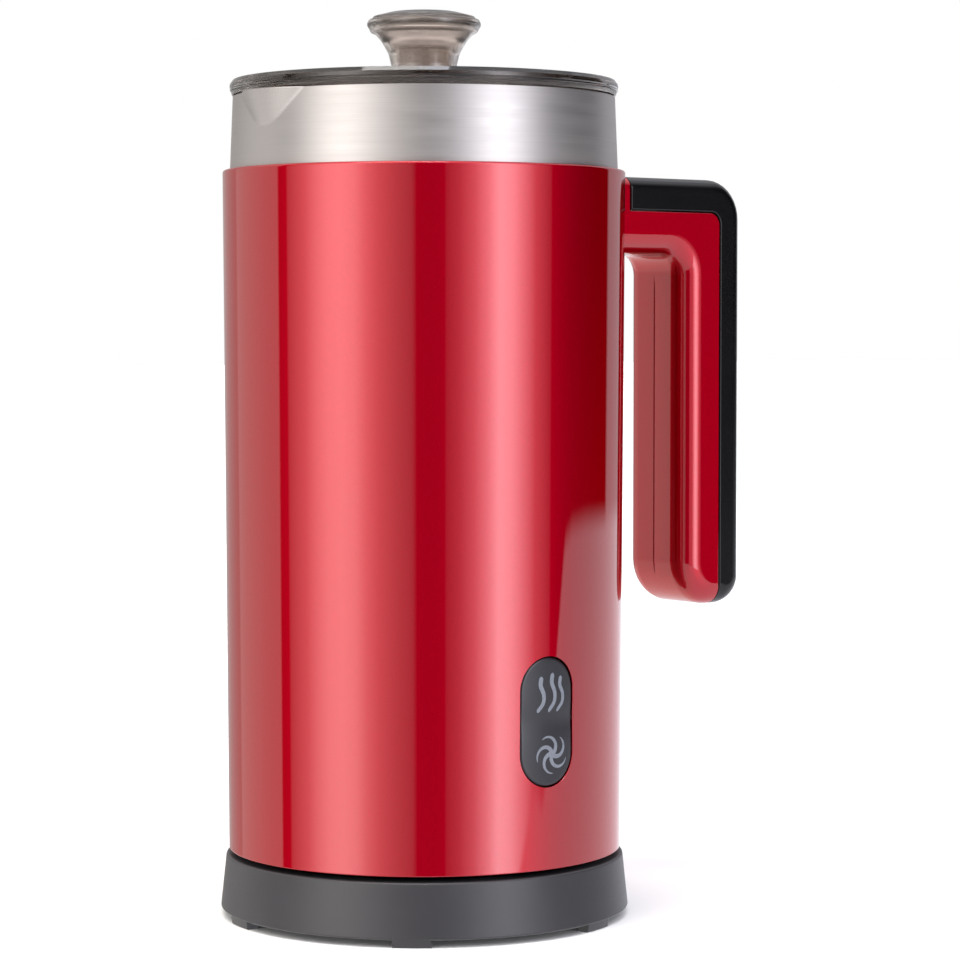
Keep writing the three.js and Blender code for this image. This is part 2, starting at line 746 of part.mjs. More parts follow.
function handleHollow(corners) {
  const half = HANDLE_WIDTH / 2 - WALL_INSIDE;
  return slab(roundedOutline(corners), -half, half, 4);
}

function handleBody() {
  const hollow = handleHollow([
    [66, ARM_BOTTOM + 3.2, 1],
    [GRIP_INNER + 3.5, ARM_BOTTOM + 3.2, 2],
    [GRIP_INNER + 3.5, GRIP_BOTTOM + 5, 6],
    [HANDLE_OUTER, GRIP_BOTTOM + 5, 0],
    [HANDLE_OUTER, HANDLE_TOP - 4, 0],
    [66, HANDLE_TOP - 4, 0],
  ]);
  const jug = rod(SHELL_TOP_RADIUS + GAP, ARM_BOTTOM - 10, HANDLE_TOP + 10, 2 * ROUND);
  const screwHoles = HANDLE_SCREW_OFFSETS.map((y) =>
    rodAlongX(1.7, 45, 63.5, y, HANDLE_SCREW_HEIGHT, SMALL),
  );
  return cut(wholeHandle(), backRegion(-SEAM), jug, hollow, ...screwHoles);
}

function handleBack() {
  const hollow = handleHollow([
    [66, ARM_BOTTOM, 0],
    [HANDLE_OUTER - 12, ARM_BOTTOM, 0],
    [HANDLE_OUTER - 12, GRIP_BOTTOM + 7, 0],
    [HANDLE_OUTER - 2.6, GRIP_BOTTOM + 7, 3],
    [HANDLE_OUTER - 2.6, HANDLE_TOP - 2.6, 8],
    [66, HANDLE_TOP - 2.6, 0],
  ]);
  return cut(common(wholeHandle(), backRegion(SEAM)), hollow);
}

function handlePlate() {
  const plate = block([49.2, -11, 178], [51, 11, 187.4]);
  const holes = HANDLE_SCREW_OFFSETS.map((y) =>
    rodAlongX(1.7, 45, 60, y, HANDLE_SCREW_HEIGHT, SMALL),
  );
  return cut(plate, ...holes);
}

function addHandle(root) {
  const group = new THREE.Group();
  root.add(group);
  addPiece(group, "handle_body", handleBody(), "red_lacquer");
  addPiece(group, "handle_back", handleBack(), "black_plastic");
  addPiece(group, "handle_plate", handlePlate(), "zinc_steel");
  HANDLE_SCREW_OFFSETS.forEach((y, i) => {
    const piece = addPiece(group, `handle_screw_${i + 1}`, screw(2.4, 1.4, 13), "zinc_steel");
    piece.position.set(48.9, y, HANDLE_SCREW_HEIGHT);
    piece.rotation.y = TURN / 4;
  });
}

// ---- Lid ----
function lidCover() {
  const skirt = 48.4;
  const skirtBottom = LID_BOTTOM - 7.75;
  return turned(
    [
      [0, LID_BOTTOM + 1.7],
      [skirt - 2, LID_BOTTOM + 1.4],
      [skirt - 2, skirtBottom],
      [skirt, skirtBottom],
      [skirt, LID_BOTTOM],
      [LID_RADIUS - 0.35, LID_BOTTOM],
      [LID_RADIUS, LID_BOTTOM + 1.9],
      [LID_RADIUS - 0.35, LID_BOTTOM + 3.3],
      [LID_RADIUS - 1.4, LID_BOTTOM + 4],
      [BOSS_RADIUS, LID_BOTTOM + LID_THICKNESS],
      [BOSS_RADIUS, BOSS_TOP],
      [0, BOSS_TOP],
    ],
    ROUND,
  );
}

function lidKnob() {
  const bore = BOSS_RADIUS + GAP;
  const bottom = LID_BOTTOM + LID_THICKNESS + GAP;
  return turned(
    [
      [0, BOSS_TOP + GAP],
      [bore, BOSS_TOP + GAP],
      [bore, bottom],
      [8.8, bottom],
      [8.8, 227.7],
      [9.2, 229.9],
      [10.3, 232],
      [11.6, 234.1],
      [14.3, 236.2],
      [KNOB_RADIUS, 238.4],
      [14.7, 239.6],
      [11.8, 241],
      [6, 241.9],
      [0, KNOB_TOP],
    ],
    MEDIUM,
  );
}

function addLid(root) {
  const group = new THREE.Group();
  root.add(group);
  addPiece(group, "lid_cover", lidCover(), "smoke_plastic");
  addPiece(group, "lid_seal", ring(48.7, 49.8, LID_BOTTOM - 6.75, LID_BOTTOM - 1.15, ROUND), "silicone");
  addPiece(group, "lid_knob", lidKnob(), "smoke_plastic");
}

// ---- Whisk and its magnetic drive ----
const SPINDLE_RADIUS = 2;
const SPINDLE_TOP = 93;
const WHISK_BOTTOM = 82.6;
const WHISK_TOP = 104;

function potSpindle() {
  const floor = POT_FLOOR + POT_WALL + GAP;
  return turned(
    [
      [0, floor],
      [5, floor],
      [5, floor + 1],
      [SPINDLE_RADIUS, floor + 1],
      [SPINDLE_RADIUS, SPINDLE_TOP - 1],
      [1, SPINDLE_TOP],
      [0, SPINDLE_TOP],
    ],
    SMALL,
  );
}

function whiskSpoke(angle) {
  return block([12, -0.9, WHISK_HEIGHT - 0.9], [WHISK_CIRCLE, 0.9, WHISK_HEIGHT + 0.9]).rotateZ(angle);
}

function whiskFrame() {
  const disc = rod(13, WHISK_BOTTOM, 86.2, MEDIUM);
  const hoop = new THREE.TorusGeometry(WHISK_CIRCLE, 1.4, 6, 2 * MEDIUM).translate(0, 0, WHISK_HEIGHT);
  const pockets = evenly(2).map((angle) => {
    const [x, y] = onCircle(MAGNET_CIRCLE, angle);
    return rod(3.3, 84, 90, SMALL).translate(x, y, 0);
  });
  const whole = joined(disc, hoop, ...evenly(4).map(whiskSpoke));
  return cut(whole, rod(3.4, 80, 90, SMALL), ...pockets);
}

function whiskCap() {
  return turned(
    [
      [0, SPINDLE_TOP + 0.6],
      [3.4, SPINDLE_TOP + 0.6],
      [3.4, 86.5],
      [12.6, 86.5],
      [12.6, 87.5],
      [11.8, 88],
      [6, 88.8],
      [4.8, 91],
      [4.8, 98],
      [6, 101],
      [6, 103.4],
      [5.4, WHISK_TOP],
      [0, WHISK_TOP],
    ],
    MEDIUM,
  );
}

// A spring wire wound round the whisk's hoop: its inner side passes between the spokes.
function whiskCoil() {
  const stepsPerTurn = 6;
  const steps = COIL_TURNS * stepsPerTurn;
  const opening = THREE.MathUtils.degToRad(2);
  const points = Array.from({ length: steps + 1 }, (_, i) => {
    const angle = opening + (i / steps) * (TURN - 2 * opening);
    const phase = COIL_TURNS * angle;
    const [x, y] = onCircle(WHISK_CIRCLE + COIL_RADIUS * Math.cos(phase), angle);
    return new THREE.Vector3(x, y, WHISK_HEIGHT + COIL_RADIUS * Math.sin(phase));
  });
  const section = new THREE.Shape().absarc(0, 0, WIRE_RADIUS, 0, TURN, false);
  return new THREE.ExtrudeGeometry(section, {
    steps,
    extrudePath: new THREE.CatmullRomCurve3(points),
    curveSegments: 2,
  });
}

function addWhisk(root) {
  const group = new THREE.Group();
  root.add(group);
  addPiece(group, "pot_spindle", potSpindle(), "brushed_steel");
  addPiece(group, "whisk_bush", ring(SPINDLE_RADIUS + GAP, 3.1, 82.4, 92, SMALL), "white_plastic");
  addPiece(group, "whisk_frame", whiskFrame(), "black_plastic");
  addPiece(group, "whisk_cap", whiskCap(), "black_plastic");
  addPiece(group, "whisk_coil", whiskCoil(), "brushed_steel");
  evenly(2).forEach((angle, i) => {
    const piece = addPiece(group, `whisk_magnet_${i + 1}`, rod(3, 84.3, 86.2, SMALL), "magnet_nickel");
    piece.position.set(...onCircle(MAGNET_CIRCLE, angle), 0);
  });
}

function magnetCarrier() {
  const wheel = turnedRing([[1.8, 67.6], [4.5, 67.6], [4.5, 69], [15, 69], [15, 74.5], [1.8, 74.5]], MEDIUM);
  const pockets = evenly(2).map((angle) => {
    const [x, y] = onCircle(MAGNET_CIRCLE, angle);
    return rod(3.8, 71, 80, SMALL).translate(x, y, 0);
  });
  return cut(wheel, ...pockets);
}

function addRotor(root) {
  const group = new THREE.Group();
  root.add(group);
  addPiece(group, "motor_shaft", rod(1.5, 38, 74, SMALL), "zinc_steel");
  addPiece(group, "magnet_carrier", magnetCarrier(), "white_plastic");
  evenly(2).forEach((angle, i) => {
    const piece = addPiece(group, `drive_magnet_${i + 1}`, rod(3.5, 71.3, 76.5, SMALL), "magnet_nickel");
    piece.position.set(...onCircle(MAGNET_CIRCLE, angle), 0);
  });
}

// ---- The whole pitcher ----
const pitcher = new THREE.Group();
pitcher.position.x = AXIS_X;
[addPowerBase, addJug, addDrive, addElectronics, addButton, addHandle, addLid, addWhisk, addRotor].forEach(
  (add) => add(pitcher),
);

export default pitcher;
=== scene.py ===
import json
import math

import bmesh
import bpy
from mathutils import Matrix, Vector


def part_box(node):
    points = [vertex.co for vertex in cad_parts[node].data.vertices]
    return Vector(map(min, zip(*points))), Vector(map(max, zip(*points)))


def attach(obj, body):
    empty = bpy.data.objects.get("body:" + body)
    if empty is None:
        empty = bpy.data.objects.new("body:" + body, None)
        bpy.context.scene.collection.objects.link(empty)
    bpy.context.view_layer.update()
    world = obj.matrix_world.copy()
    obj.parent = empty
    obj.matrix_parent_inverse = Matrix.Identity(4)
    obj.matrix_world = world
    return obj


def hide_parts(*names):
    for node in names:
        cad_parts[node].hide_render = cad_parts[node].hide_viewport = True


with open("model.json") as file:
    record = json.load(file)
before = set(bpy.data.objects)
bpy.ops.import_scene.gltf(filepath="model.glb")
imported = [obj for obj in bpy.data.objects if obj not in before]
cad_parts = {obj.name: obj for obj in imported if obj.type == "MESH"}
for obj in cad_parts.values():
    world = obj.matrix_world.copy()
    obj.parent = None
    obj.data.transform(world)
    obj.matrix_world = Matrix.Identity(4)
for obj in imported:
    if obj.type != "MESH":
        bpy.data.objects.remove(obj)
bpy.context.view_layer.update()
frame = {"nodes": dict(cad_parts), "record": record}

# The looks of an electric milk frothing pitcher. Lengths are in millimetres about the jug's own axis,
# and to_frame() turns them into metres in the row frame.
MM = 0.001
TURN = 2 * math.pi
SCENE = bpy.context.scene


def axis_of(node):
    low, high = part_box(node)
    return (low.x + high.x) / 2


AXIS_X = axis_of("jug_connector")


def to_frame(x, y, z):
    return Vector((AXIS_X + x * MM, y * MM, z * MM))


class Span:
    """A CAD node's reach in millimetres about the jug's axis."""

    def __init__(self, node):
        low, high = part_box(node)
        self.left, self.right = (low.x - AXIS_X) / MM, (high.x - AXIS_X) / MM
        self.front, self.back = low.y / MM, high.y / MM
        self.bottom, self.top = low.z / MM, high.z / MM
        self.radius = max(self.back, -self.front)


BASE = Span("base_shell")
SHELL = Span("outer_shell")
POT = Span("pot")
LID = Span("lid_cover")
KNOB = Span("lid_knob")
BUTTON = Span("button_rocker")
HANDLE = Span("handle_body")
HANDLE_BACK = Span("handle_back")
TOWER = Span("base_connector")


# ---- Camera ----
CAMERA_AZIMUTH = math.radians(-37)
CAMERA_DISTANCE = 850
CAMERA_HEIGHT = 156.3
CAMERA_YAW = math.radians(1.01)
CAMERA_PITCH = math.radians(2.68)
CAMERA_LENS = 118.46


def add_camera():
    data = bpy.data.cameras.new("camera")
    data.lens = CAMERA_LENS
    camera = bpy.data.objects.new("camera", data)
    SCENE.collection.objects.link(camera)
    side, ahead = math.sin(CAMERA_AZIMUTH), -math.cos(CAMERA_AZIMUTH)
    camera.location = to_frame(CAMERA_DISTANCE * side, CAMERA_DISTANCE * ahead, CAMERA_HEIGHT)
    camera.rotation_euler = (math.pi / 2 - CAMERA_PITCH, 0, CAMERA_AZIMUTH - CAMERA_YAW)
    SCENE.camera = camera


# ---- Material building blocks ----
class Nodes:
    """Makes and joins the nodes of one tree."""

    def __init__(self, tree):
        self.tree = tree

    def node(self, kind, **values):
        made = self.tree.nodes.new(kind)
        for key, value in values.items():
            setattr(made, key, value)
        return made

    def link(self, source, target):
        self.tree.links.new(source, target)


class Shader(Nodes):
    """One procedural material: a Principled shader and the nodes that feed it, in object space."""

    def __init__(self, name, **sockets):
        self.material = bpy.data.materials.new(name)
        self.material.use_nodes = True
        super().__init__(self.material.node_tree)
        self.principled = self.tree.nodes["Principled BSDF"]
        for socket, value in sockets.items():
            self.principled.inputs[socket.replace("_", " ")].default_value = value
        coordinates = self.tree.nodes.new("ShaderNodeTexCoord")
        self.place = coordinates.outputs["Object"]
        self.bump_input = self.principled.inputs["Normal"]

    def scaled_place(self, scale):
        """Object coordinates stretched by a scale for each axis."""
        mapping = self.node("ShaderNodeMapping")
        mapping.inputs["Scale"].default_value = scale
        self.link(self.place, mapping.inputs["Vector"])
        return mapping.outputs["Vector"]

    def noise(self, scale, detail=3, roughness=0.5, stretch=(1, 1, 1)):
        made = self.node("ShaderNodeTexNoise")
        made.inputs["Scale"].default_value = scale
        made.inputs["Detail"].default_value = detail
        made.inputs["Roughness"].default_value = roughness
        self.link(self.scaled_place(stretch), made.inputs["Vector"])
        return made.outputs["Fac"]

    def ramp(self, source, low, high):
        """Maps a 0 to 1 value to a range."""
        made = self.node("ShaderNodeMapRange")
        made.inputs["From Min"].default_value = 0.25
        made.inputs["From Max"].default_value = 0.75
        made.inputs["To Min"].default_value = low
        made.inputs["To Max"].default_value = high
        self.link(source, made.inputs["Value"])
        return made.outputs["Result"]

    def colours(self, source, dark, light):
        made = self.node("ShaderNodeMix", data_type="RGBA")
        made.inputs["A"].default_value = (*dark, 1)
        made.inputs["B"].default_value = (*light, 1)
        self.link(self.ramp(source, 0, 1), made.inputs["Factor"])
        self.link(made.outputs["Result"], self.principled.inputs["Base Color"])

    def roughness(self, source, low, high):
        self.link(self.ramp(source, low, high), self.principled.inputs["Roughness"])

    def bump(self, source, distance, strength=1.0):
        made = self.node("ShaderNodeBump")
        made.inputs["Strength"].default_value = strength
        made.inputs["Distance"].default_value = distance
        self.link(source, made.inputs["Height"])
        if self.bump_input.is_linked:
            self.link(self.bump_input.links[0].from_socket, made.inputs["Normal"])
        self.link(made.outputs["Normal"], self.bump_input)


def red_lacquer():
    """Metallic red base coat with fine flake, under a smooth clear coat."""
    shader = Shader("red_lacquer", Metallic=1.0, Coat_Weight=1.0, Coat_Roughness=0.02, Coat_IOR=1.55)
    shader.principled.inputs["Specular Tint"].default_value = (1.0, 0.15, 0.22, 1)
    flake = shader.noise(5200, detail=2)
    shader.colours(flake, (0.36, 0.0002, 0.010), (0.45, 0.0003, 0.014))
    shader.roughness(shader.noise(900, detail=4), 0.46, 0.51)
    shader.bump(flake, 0.000004, 0.25)
    return shader.material


def moulded_plastic(name, dark, light, rough_low, rough_high, grain, depth=0.35, **sockets):
    """Injection-moulded plastic: a faint cloud in the colour and a fine even grain."""
    shader = Shader(name, IOR=1.5, **sockets)
    shader.colours(shader.noise(60, detail=5), dark, light)
    shader.roughness(shader.noise(1400, detail=3), rough_low, rough_high)
    shader.bump(shader.noise(grain, detail=2), 0.00002, depth)
    return shader.material


def brushed_steel():
    """Stainless steel brushed round the axis: long thin streaks, each at its own height."""
    shader = Shader("brushed_steel", Metallic=1.0, Anisotropic=0.35, Anisotropic_Rotation=0.25)
    streaks = shader.noise(1, detail=5, roughness=0.65, stretch=(14, 14, 5200))
    broad = shader.noise(1, detail=3, stretch=(30, 30, 420))
    shader.colours(streaks, (0.395, 0.371, 0.365), (0.45, 0.426, 0.418))
    shader.roughness(broad, 0.43, 0.49)
    shader.bump(streaks, 0.000004, 0.15)
    tangent = shader.node("ShaderNodeTangent", direction_type="RADIAL", axis="Z")
    shader.link(tangent.outputs["Tangent"], shader.principled.inputs["Tangent"])
    return shader.material


def smoke_plastic(name, dark, light, frost):
    """Clear plastic with a warm smoke tint, and the faint waviness of a moulding."""
    shader = Shader(name, Transmission_Weight=1.0, IOR=1.49)
    shader.colours(shader.noise(45, detail=3), dark, light)
    shader.roughness(shader.noise(500, detail=3), frost, frost + 0.04)
    shader.bump(shader.noise(160, detail=2), 0.00003, 0.25)
    return shader.material


def plain_metal(name, dark, light, rough_low, rough_high, grain=900):
    shader = Shader(name, Metallic=1.0)
    shader.colours(shader.noise(grain, detail=4), dark, light)
    shader.roughness(shader.noise(grain * 0.4, detail=4), rough_low, rough_high)
    shader.bump(shader.noise(grain * 2, detail=3), 0.00001, 0.3)
    return shader.material


def circuit_green():
    """Green solder mask with faint copper tracks under it."""
    shader = Shader("circuit_green", Coat_Weight=0.5, Coat_Roughness=0.2)
    shader.colours(shader.noise(420, detail=1), (0.01, 0.10, 0.035), (0.03, 0.24, 0.09))
    shader.roughness(shader.noise(1500, detail=2), 0.4, 0.55)
    shader.bump(shader.noise(420, detail=1), 0.00004, 0.4)
    return shader.material


def soft_rubber(name, dark, light):
    shader = Shader(name, Subsurface_Weight=0.1)
    shader.colours(shader.noise(200, detail=4), dark, light)
    shader.roughness(shader.noise(1800, detail=3), 0.55, 0.75)
    shader.bump(shader.noise(2400, detail=2), 0.00002, 0.4)
    return shader.material


def symbol_print():
    """Pale grey pad-printed ink, a little uneven."""
    shader = Shader("symbol_print")
    shader.colours(shader.noise(1500, detail=4), (0.13, 0.145, 0.18), (0.185, 0.20, 0.235))
    shader.roughness(shader.noise(2500, detail=2), 0.4, 0.55)
    shader.bump(shader.noise(3500, detail=2), 0.00001, 0.4)
    return shader.material


MATERIALS = {
    "red_lacquer": red_lacquer(),
    "base_plastic": moulded_plastic(
        "base_plastic",
        (0.022, 0.0207, 0.0245),
        (0.028, 0.0267, 0.0305),
        0.40,
        0.46,
        5200,
    ),
    "black_plastic": moulded_plastic(
        "black_plastic",
        (0.0022, 0.0020, 0.0025),
        (0.0036, 0.0034, 0.0040),
        0.17,
        0.22,
        3000,
        0.06,
        Specular_IOR_Level=0.34,
    ),
    "button_plastic": moulded_plastic(
        "button_plastic",
        (0.011, 0.011, 0.015),
        (0.016, 0.016, 0.021),
        0.30,
        0.35,
        5200,
        0.15,
    ),
    "brushed_steel": brushed_steel(),
    "smoke_plastic": smoke_plastic("smoke_plastic", (0.68, 0.62, 0.58), (0.76, 0.70, 0.66), 0.17),
    "silicone": soft_rubber("silicone", (0.55, 0.54, 0.52), (0.66, 0.65, 0.62)),
    "zinc_steel": plain_metal("zinc_steel", (0.46, 0.47, 0.50), (0.62, 0.63, 0.66), 0.28, 0.42),
    "contact_brass": plain_metal("contact_brass", (0.68, 0.48, 0.19), (0.82, 0.62, 0.30), 0.22, 0.36),
    "cast_aluminium": plain_metal("cast_aluminium", (0.50, 0.51, 0.52), (0.64, 0.65, 0.66), 0.45, 0.6, 500),
    "magnet_nickel": plain_metal("magnet_nickel", (0.66, 0.65, 0.63), (0.76, 0.75, 0.73), 0.12, 0.2),
    "circuit_green": circuit_green(),
    "white_plastic": moulded_plastic("white_plastic", (0.68, 0.67, 0.62), (0.76, 0.75, 0.71), 0.4, 0.5, 3000),
    "wire_sleeve": soft_rubber("wire_sleeve", (0.58, 0.55, 0.45), (0.72, 0.69, 0.60)),
}
SYMBOL_PRINT = symbol_print()
# Painted shade: a darker copy of the lid's smoke plastic for its thick rim, standing in for the dark that
# light's long path through the rim gives.
RIM_SMOKE_PAINTED_SHADE = smoke_plastic("rim_smoke_painted_shade", (0.20, 0.172, 0.16), (0.28, 0.242, 0.225), 0.04)
# Painted shade: a darker copy of the smoke plastic, on the lid's lower band for the shadow in the gap over
# the pot, and on the knob's domed cap.
SMOKE_PAINTED_SHADE = smoke_plastic("smoke_painted_shade", (0.40, 0.35, 0.32), (0.50, 0.445, 0.41), 0.14)
PLATE_SMOKE = smoke_plastic("plate_smoke", (0.42, 0.37, 0.34), (0.50, 0.445, 0.41), 0.04)


# ---- Mesh building blocks ----
ON_AXIS = 1e-6


def add_piece(name, points, faces, body, finish, replaced=(), sharp=32, material=None):
    """A mesh piece from points in millimetres about the axis, riding on a body."""
    mesh = bpy.data.meshes.new(name)
    mesh.from_pydata([to_frame(*point) for point in points], [], faces)
    mesh.validate()
    mesh.materials.append(material or MATERIALS[finish])
    mesh.shade_smooth()
    mesh.set_sharp_from_angle(angle=math.radians(sharp))
    piece = bpy.data.objects.new(name, mesh)
    SCENE.collection.objects.link(piece)
    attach(piece, body)
    if replaced:
        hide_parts(*replaced)
    weighted = piece.modifiers.new("weighted_normals", "WEIGHTED_NORMAL")
    weighted.keep_sharp = True
    return piece


def fix_normals(piece):
    """Turns every face of a closed piece outwards."""
    work = bmesh.new()
    work.from_mesh(piece.data)
    bmesh.ops.recalc_face_normals(work, faces=work.faces)
    work.to_mesh(piece.data)
    work.free()


def rounded(corners, steps=5):
    """Corners of (radius, height, rounding) as points, each rounded corner an arc. Ends on the axis stay."""
    points = []
    count = len(corners)
    for i, (x, z, rounding) in enumerate(corners):
        here = Vector((x, z))
        if rounding <= 0:
            points.append((x, z))
            continue
        before = Vector(corners[i - 1][:2]) - here
        after = Vector(corners[(i + 1) % count][:2]) - here
        half = before.angle(after) / 2
        room = [corners[i - 1][2], corners[(i + 1) % count][2]]
        limits = [side.length * (0.49 if other > 0 else 0.98) for side, other in zip((before, after), room)]
        reach = min(rounding / math.tan(half), *limits)
        start, end = here + before.normalized() * reach, here + after.normalized() * reach
        radius = reach * math.tan(half)
        centre = here + (before.normalized() + after.normalized()).normalized() * (radius / math.sin(half))
        first = math.atan2(start.y - centre.y, start.x - centre.x)
        last = math.atan2(end.y - centre.y, end.x - centre.x)
        sweep = (last - first + math.pi) % TURN - math.pi
        for k in range(steps + 1):
            angle = first + sweep * k / steps
            points.append((centre.x + radius * math.cos(angle), centre.y + radius * math.sin(angle)))
    return points


def turned_mesh(profile, segments, shift=None):
    """Points and faces of a profile turned round the axis. The profile runs out along the bottom, up the
    outside and back in at the top; it closes on itself unless it starts and ends on the axis."""
    points, faces, rings = [], [], []
    for radius, height in profile:
        if radius < ON_AXIS:
            rings.append([len(points)])
            points.append((0, 0, height))
            continue
        ring = []
        for k in range(segments):
            angle = TURN * k / segments
            reach = radius + (shift(angle, radius, height) if shift else 0)
            ring.append(len(points))
            points.append((reach * math.cos(angle), reach * math.sin(angle), height))
        rings.append(ring)
    on_axis = profile[0][0] < ON_AXIS and profile[-1][0] < ON_AXIS
    pairs = list(zip(rings, rings[1:])) + ([] if on_axis else [(rings[-1], rings[0])])
    for low, high in pairs:
        for k in range(segments):
            first, second = (low[place % len(low)] for place in (k, k + 1))
            third, fourth = (high[place % len(high)] for place in (k + 1, k))
            face = list(dict.fromkeys((first, second, third, fourth)))
            if len(face) > 2:
                faces.append(face)
    return points, faces


def turned(name, corners, body, finish, replaced=(), segments=96, steps=5, shift=None, **looks):
    """A piece turned round the axis from its profile's corners."""
    points, faces = turned_mesh(rounded(corners, steps), segments, shift)
    return add_piece(name, points, faces, body, finish, replaced, **looks)


def cut_away(piece, cutter):
    """Cuts cutter out of piece for good, and removes it."""
    modifier = piece.modifiers.new("cut", "BOOLEAN")
    modifier.operation = "DIFFERENCE"
    modifier.solver = "EXACT"
    modifier.object = cutter
    piece.modifiers.move(len(piece.modifiers) - 1, 0)
    weighted = piece.modifiers["weighted_normals"]
    piece.modifiers.remove(weighted)
    bpy.context.view_layer.update()
    graph = bpy.context.evaluated_depsgraph_get()
    made = bpy.data.meshes.new_from_object(piece.evaluated_get(graph))
    piece.modifiers.clear()
    piece.data = made
    bpy.data.objects.remove(cutter)


def straighten_walls(piece, shortest=4.0):
    """Gives the tall wall faces of a turned piece the normals of a true cone, so a gloss runs clean."""
    mesh = piece.data
    normals = []
    for polygon in mesh.polygons:
        heights = [mesh.vertices[i].co.z for i in polygon.vertices]
        tall = max(heights) - min(heights) > shortest * MM and abs(polygon.normal.z) < 0.3
        flat = math.hypot(polygon.normal.x, polygon.normal.y)
        for loop in polygon.loop_indices:
            corner = mesh.vertices[mesh.loops[loop].vertex_index].co
            around = Vector((corner.x - AXIS_X, corner.y, 0)).normalized()
            facing = around.x * polygon.normal.x + around.y * polygon.normal.y
            if tall and abs(facing) > 0.97 * flat:
                outwards = around * flat * (1 if facing > 0 else -1)
                normals.append((outwards.x, outwards.y, polygon.normal.z))
            else:
                normals.append(tuple(mesh.corner_normals[loop].vector))
    mesh.normals_split_custom_set(normals)


# ---- Power base ----
TOWER_HOLE = 16
FOOT_COUNT = 6
FOOT_FIRST = math.radians(-130.5)
FOOT_WIDTH = 10


def add_base():
    """The base's skirt and deck in one, its foot tabs and its underside."""
    deck, rim = 14.5, 46
    inside = BASE.radius - 4.2
    skirt, plate_bottom, plate_top = 2.0, 2.15, 4
    turned(
        "base_skirt",
        [
            (inside, skirt, 0.3),
            (BASE.radius - 0.02, skirt, 0.5),
            (BASE.radius - 1.55, BASE.top, 0.7),
            (rim + 1.4, BASE.top, 0.6),
            (rim, deck, 0.6),
            (TOWER_HOLE, deck, 0.4),
            (TOWER_HOLE, deck - 2.5, 0.2),
            (inside, deck - 2.5, 0.4),
        ],
        "power_base",
        "base_plastic",
        ["base_shell"],
        segments=216,
    )
    for index in range(FOOT_COUNT):
        add_foot_tab(index, skirt)
    turned(
        "base_underside",
        [
            (0, plate_bottom, 0),
            (inside - 0.5, plate_bottom, 0.4),
            (inside - 0.5, plate_top, 0.3),
            (0, plate_top, 0),
        ],
        "power_base",
        "black_plastic",
        ["base_plate"],
        segments=144,
    )


def add_foot_tab(index, skirt):
    """One of the six tabs that the base stands on: a block curved with the skirt, its edges rounded."""
    middle = FOOT_FIRST + index * TURN / FOOT_COUNT
    half = FOOT_WIDTH / 2 / BASE.radius
    low, high, edge, top = 51.4, 54.6, 0.35, skirt + 0.8
    columns, points, faces = 9, [], []
    outline = rounded([(low, 0, edge), (high, 0, edge), (high + 0.25, top, 0), (low, top, 0)], 3)
    for k in range(columns):
        across = 2 * k / (columns - 1) - 1
        angle = middle + half * across
        points += [(r * math.cos(angle), r * math.sin(angle), z) for r, z in outline]
    count = len(outline)
    for k in range(columns - 1):
        for i in range(count):
            j = (i + 1) % count
            faces.append((k * count + i, (k + 1) * count + i, (k + 1) * count + j, k * count + j))
    faces.append(tuple(range(count)))
    faces.append(tuple((columns - 1) * count + i for i in reversed(range(count))))
    tab = add_piece(f"foot_tab_{index + 1}", points, faces, "power_base", "base_plastic")
    fix_normals(tab)


def add_connectors():
    """The cordless connector's two halves, and its contacts."""
    well, tower = 6.7, 9.0
    turned(
        "connector_tower",
        [
            (2.3, 9.2, 0),
            (19, 9.2, 0.3),
            (19, 11.7, 0),
            (15.6, 11.7, 0),
            (15.6, 16, 0.5),
            (tower + 0.5, 16.2, 0.5),
            (tower, TOWER.top, 0.7),
            (well, TOWER.top, 0.4),
            (well, 19.5, 0.3),
            (2.3, 19.5, 0.2),
        ],
        "power_base",
        "black_plastic",
        ["base_connector"],
        segments=96,
    )
    turned(
        "contact_sleeve",
        [(5.9, 19.8, 0.1), (6.4, 19.8, 0.1), (6.4, 27, 0.15), (5.9, 27, 0.15)],
        "power_base",
        "contact_brass",
        ["contact_ring"],
        segments=72,
    )
    turned(
        "contact_post",
        [(0, 8, 0), (2, 8, 0), (2, 26, 1.2), (0, 26, 0)],
        "power_base",
        "contact_brass",
        ["contact_pin"],
        segments=48,
    )
    socket, outer = 9.4, 14.0
    turned(
        "jug_socket",
        [
            (0, 27, 0),
            (2.4, 27, 0.2),
            (2.4, 20.5, 0.3),
            (5.5, 20.5, 0.4),
            (5.5, 28.2, 0.3),
            (socket, 28.2, 0.3),
            (socket, 18.3, 0.6),
            (outer, 18.3, 0.6),
            (outer, 21.5, 0),
            (18, 21.5, 0.2),
            (18, 23.5, 0.2),
            (outer, 23.5, 0),
            (outer, 31, 0.4),
            (0, 31, 0),
        ],
        "connector",
        "black_plastic",
        ["jug_connector"],
        segments=96,
    )


# ---- Jug ----
SHELL_TAPER = 1.2
OPENING_LENGTH = 34
OPENING_WIDTH = 17.7
BUTTON_MIDDLE = (BUTTON.bottom + BUTTON.top) / 2
POT_RADIUS = 47.0
SPOUT_HALF_ANGLE = math.radians(16.2)
SPOUT_DROP = 9.3
SPOUT_REACH = 3.1


def add_shell():
    """The lacquered shell: a slight taper, a rolled top edge and the button's opening."""
    wall = 1.2
    low, high = SHELL.radius - SHELL_TAPER, SHELL.radius
    shell = turned(
        "lacquered_shell",
        [
            (low - wall, SHELL.bottom, 0.2),
            (low, SHELL.bottom, 0.35),
            (high, SHELL.top, 0.75),
            (high - 1.6, SHELL.top - 0.15, 0.2),
            (high - 1.6, SHELL.top - 1.8, 0.2),
            (high - wall, SHELL.top - 2.4, 0.2),
        ],
        "jug",
        "red_lacquer",
        ["outer_shell"],
        segments=288,
        steps=6,
    )
    cut_away(shell, opening_cutter())
    straighten_walls(shell)


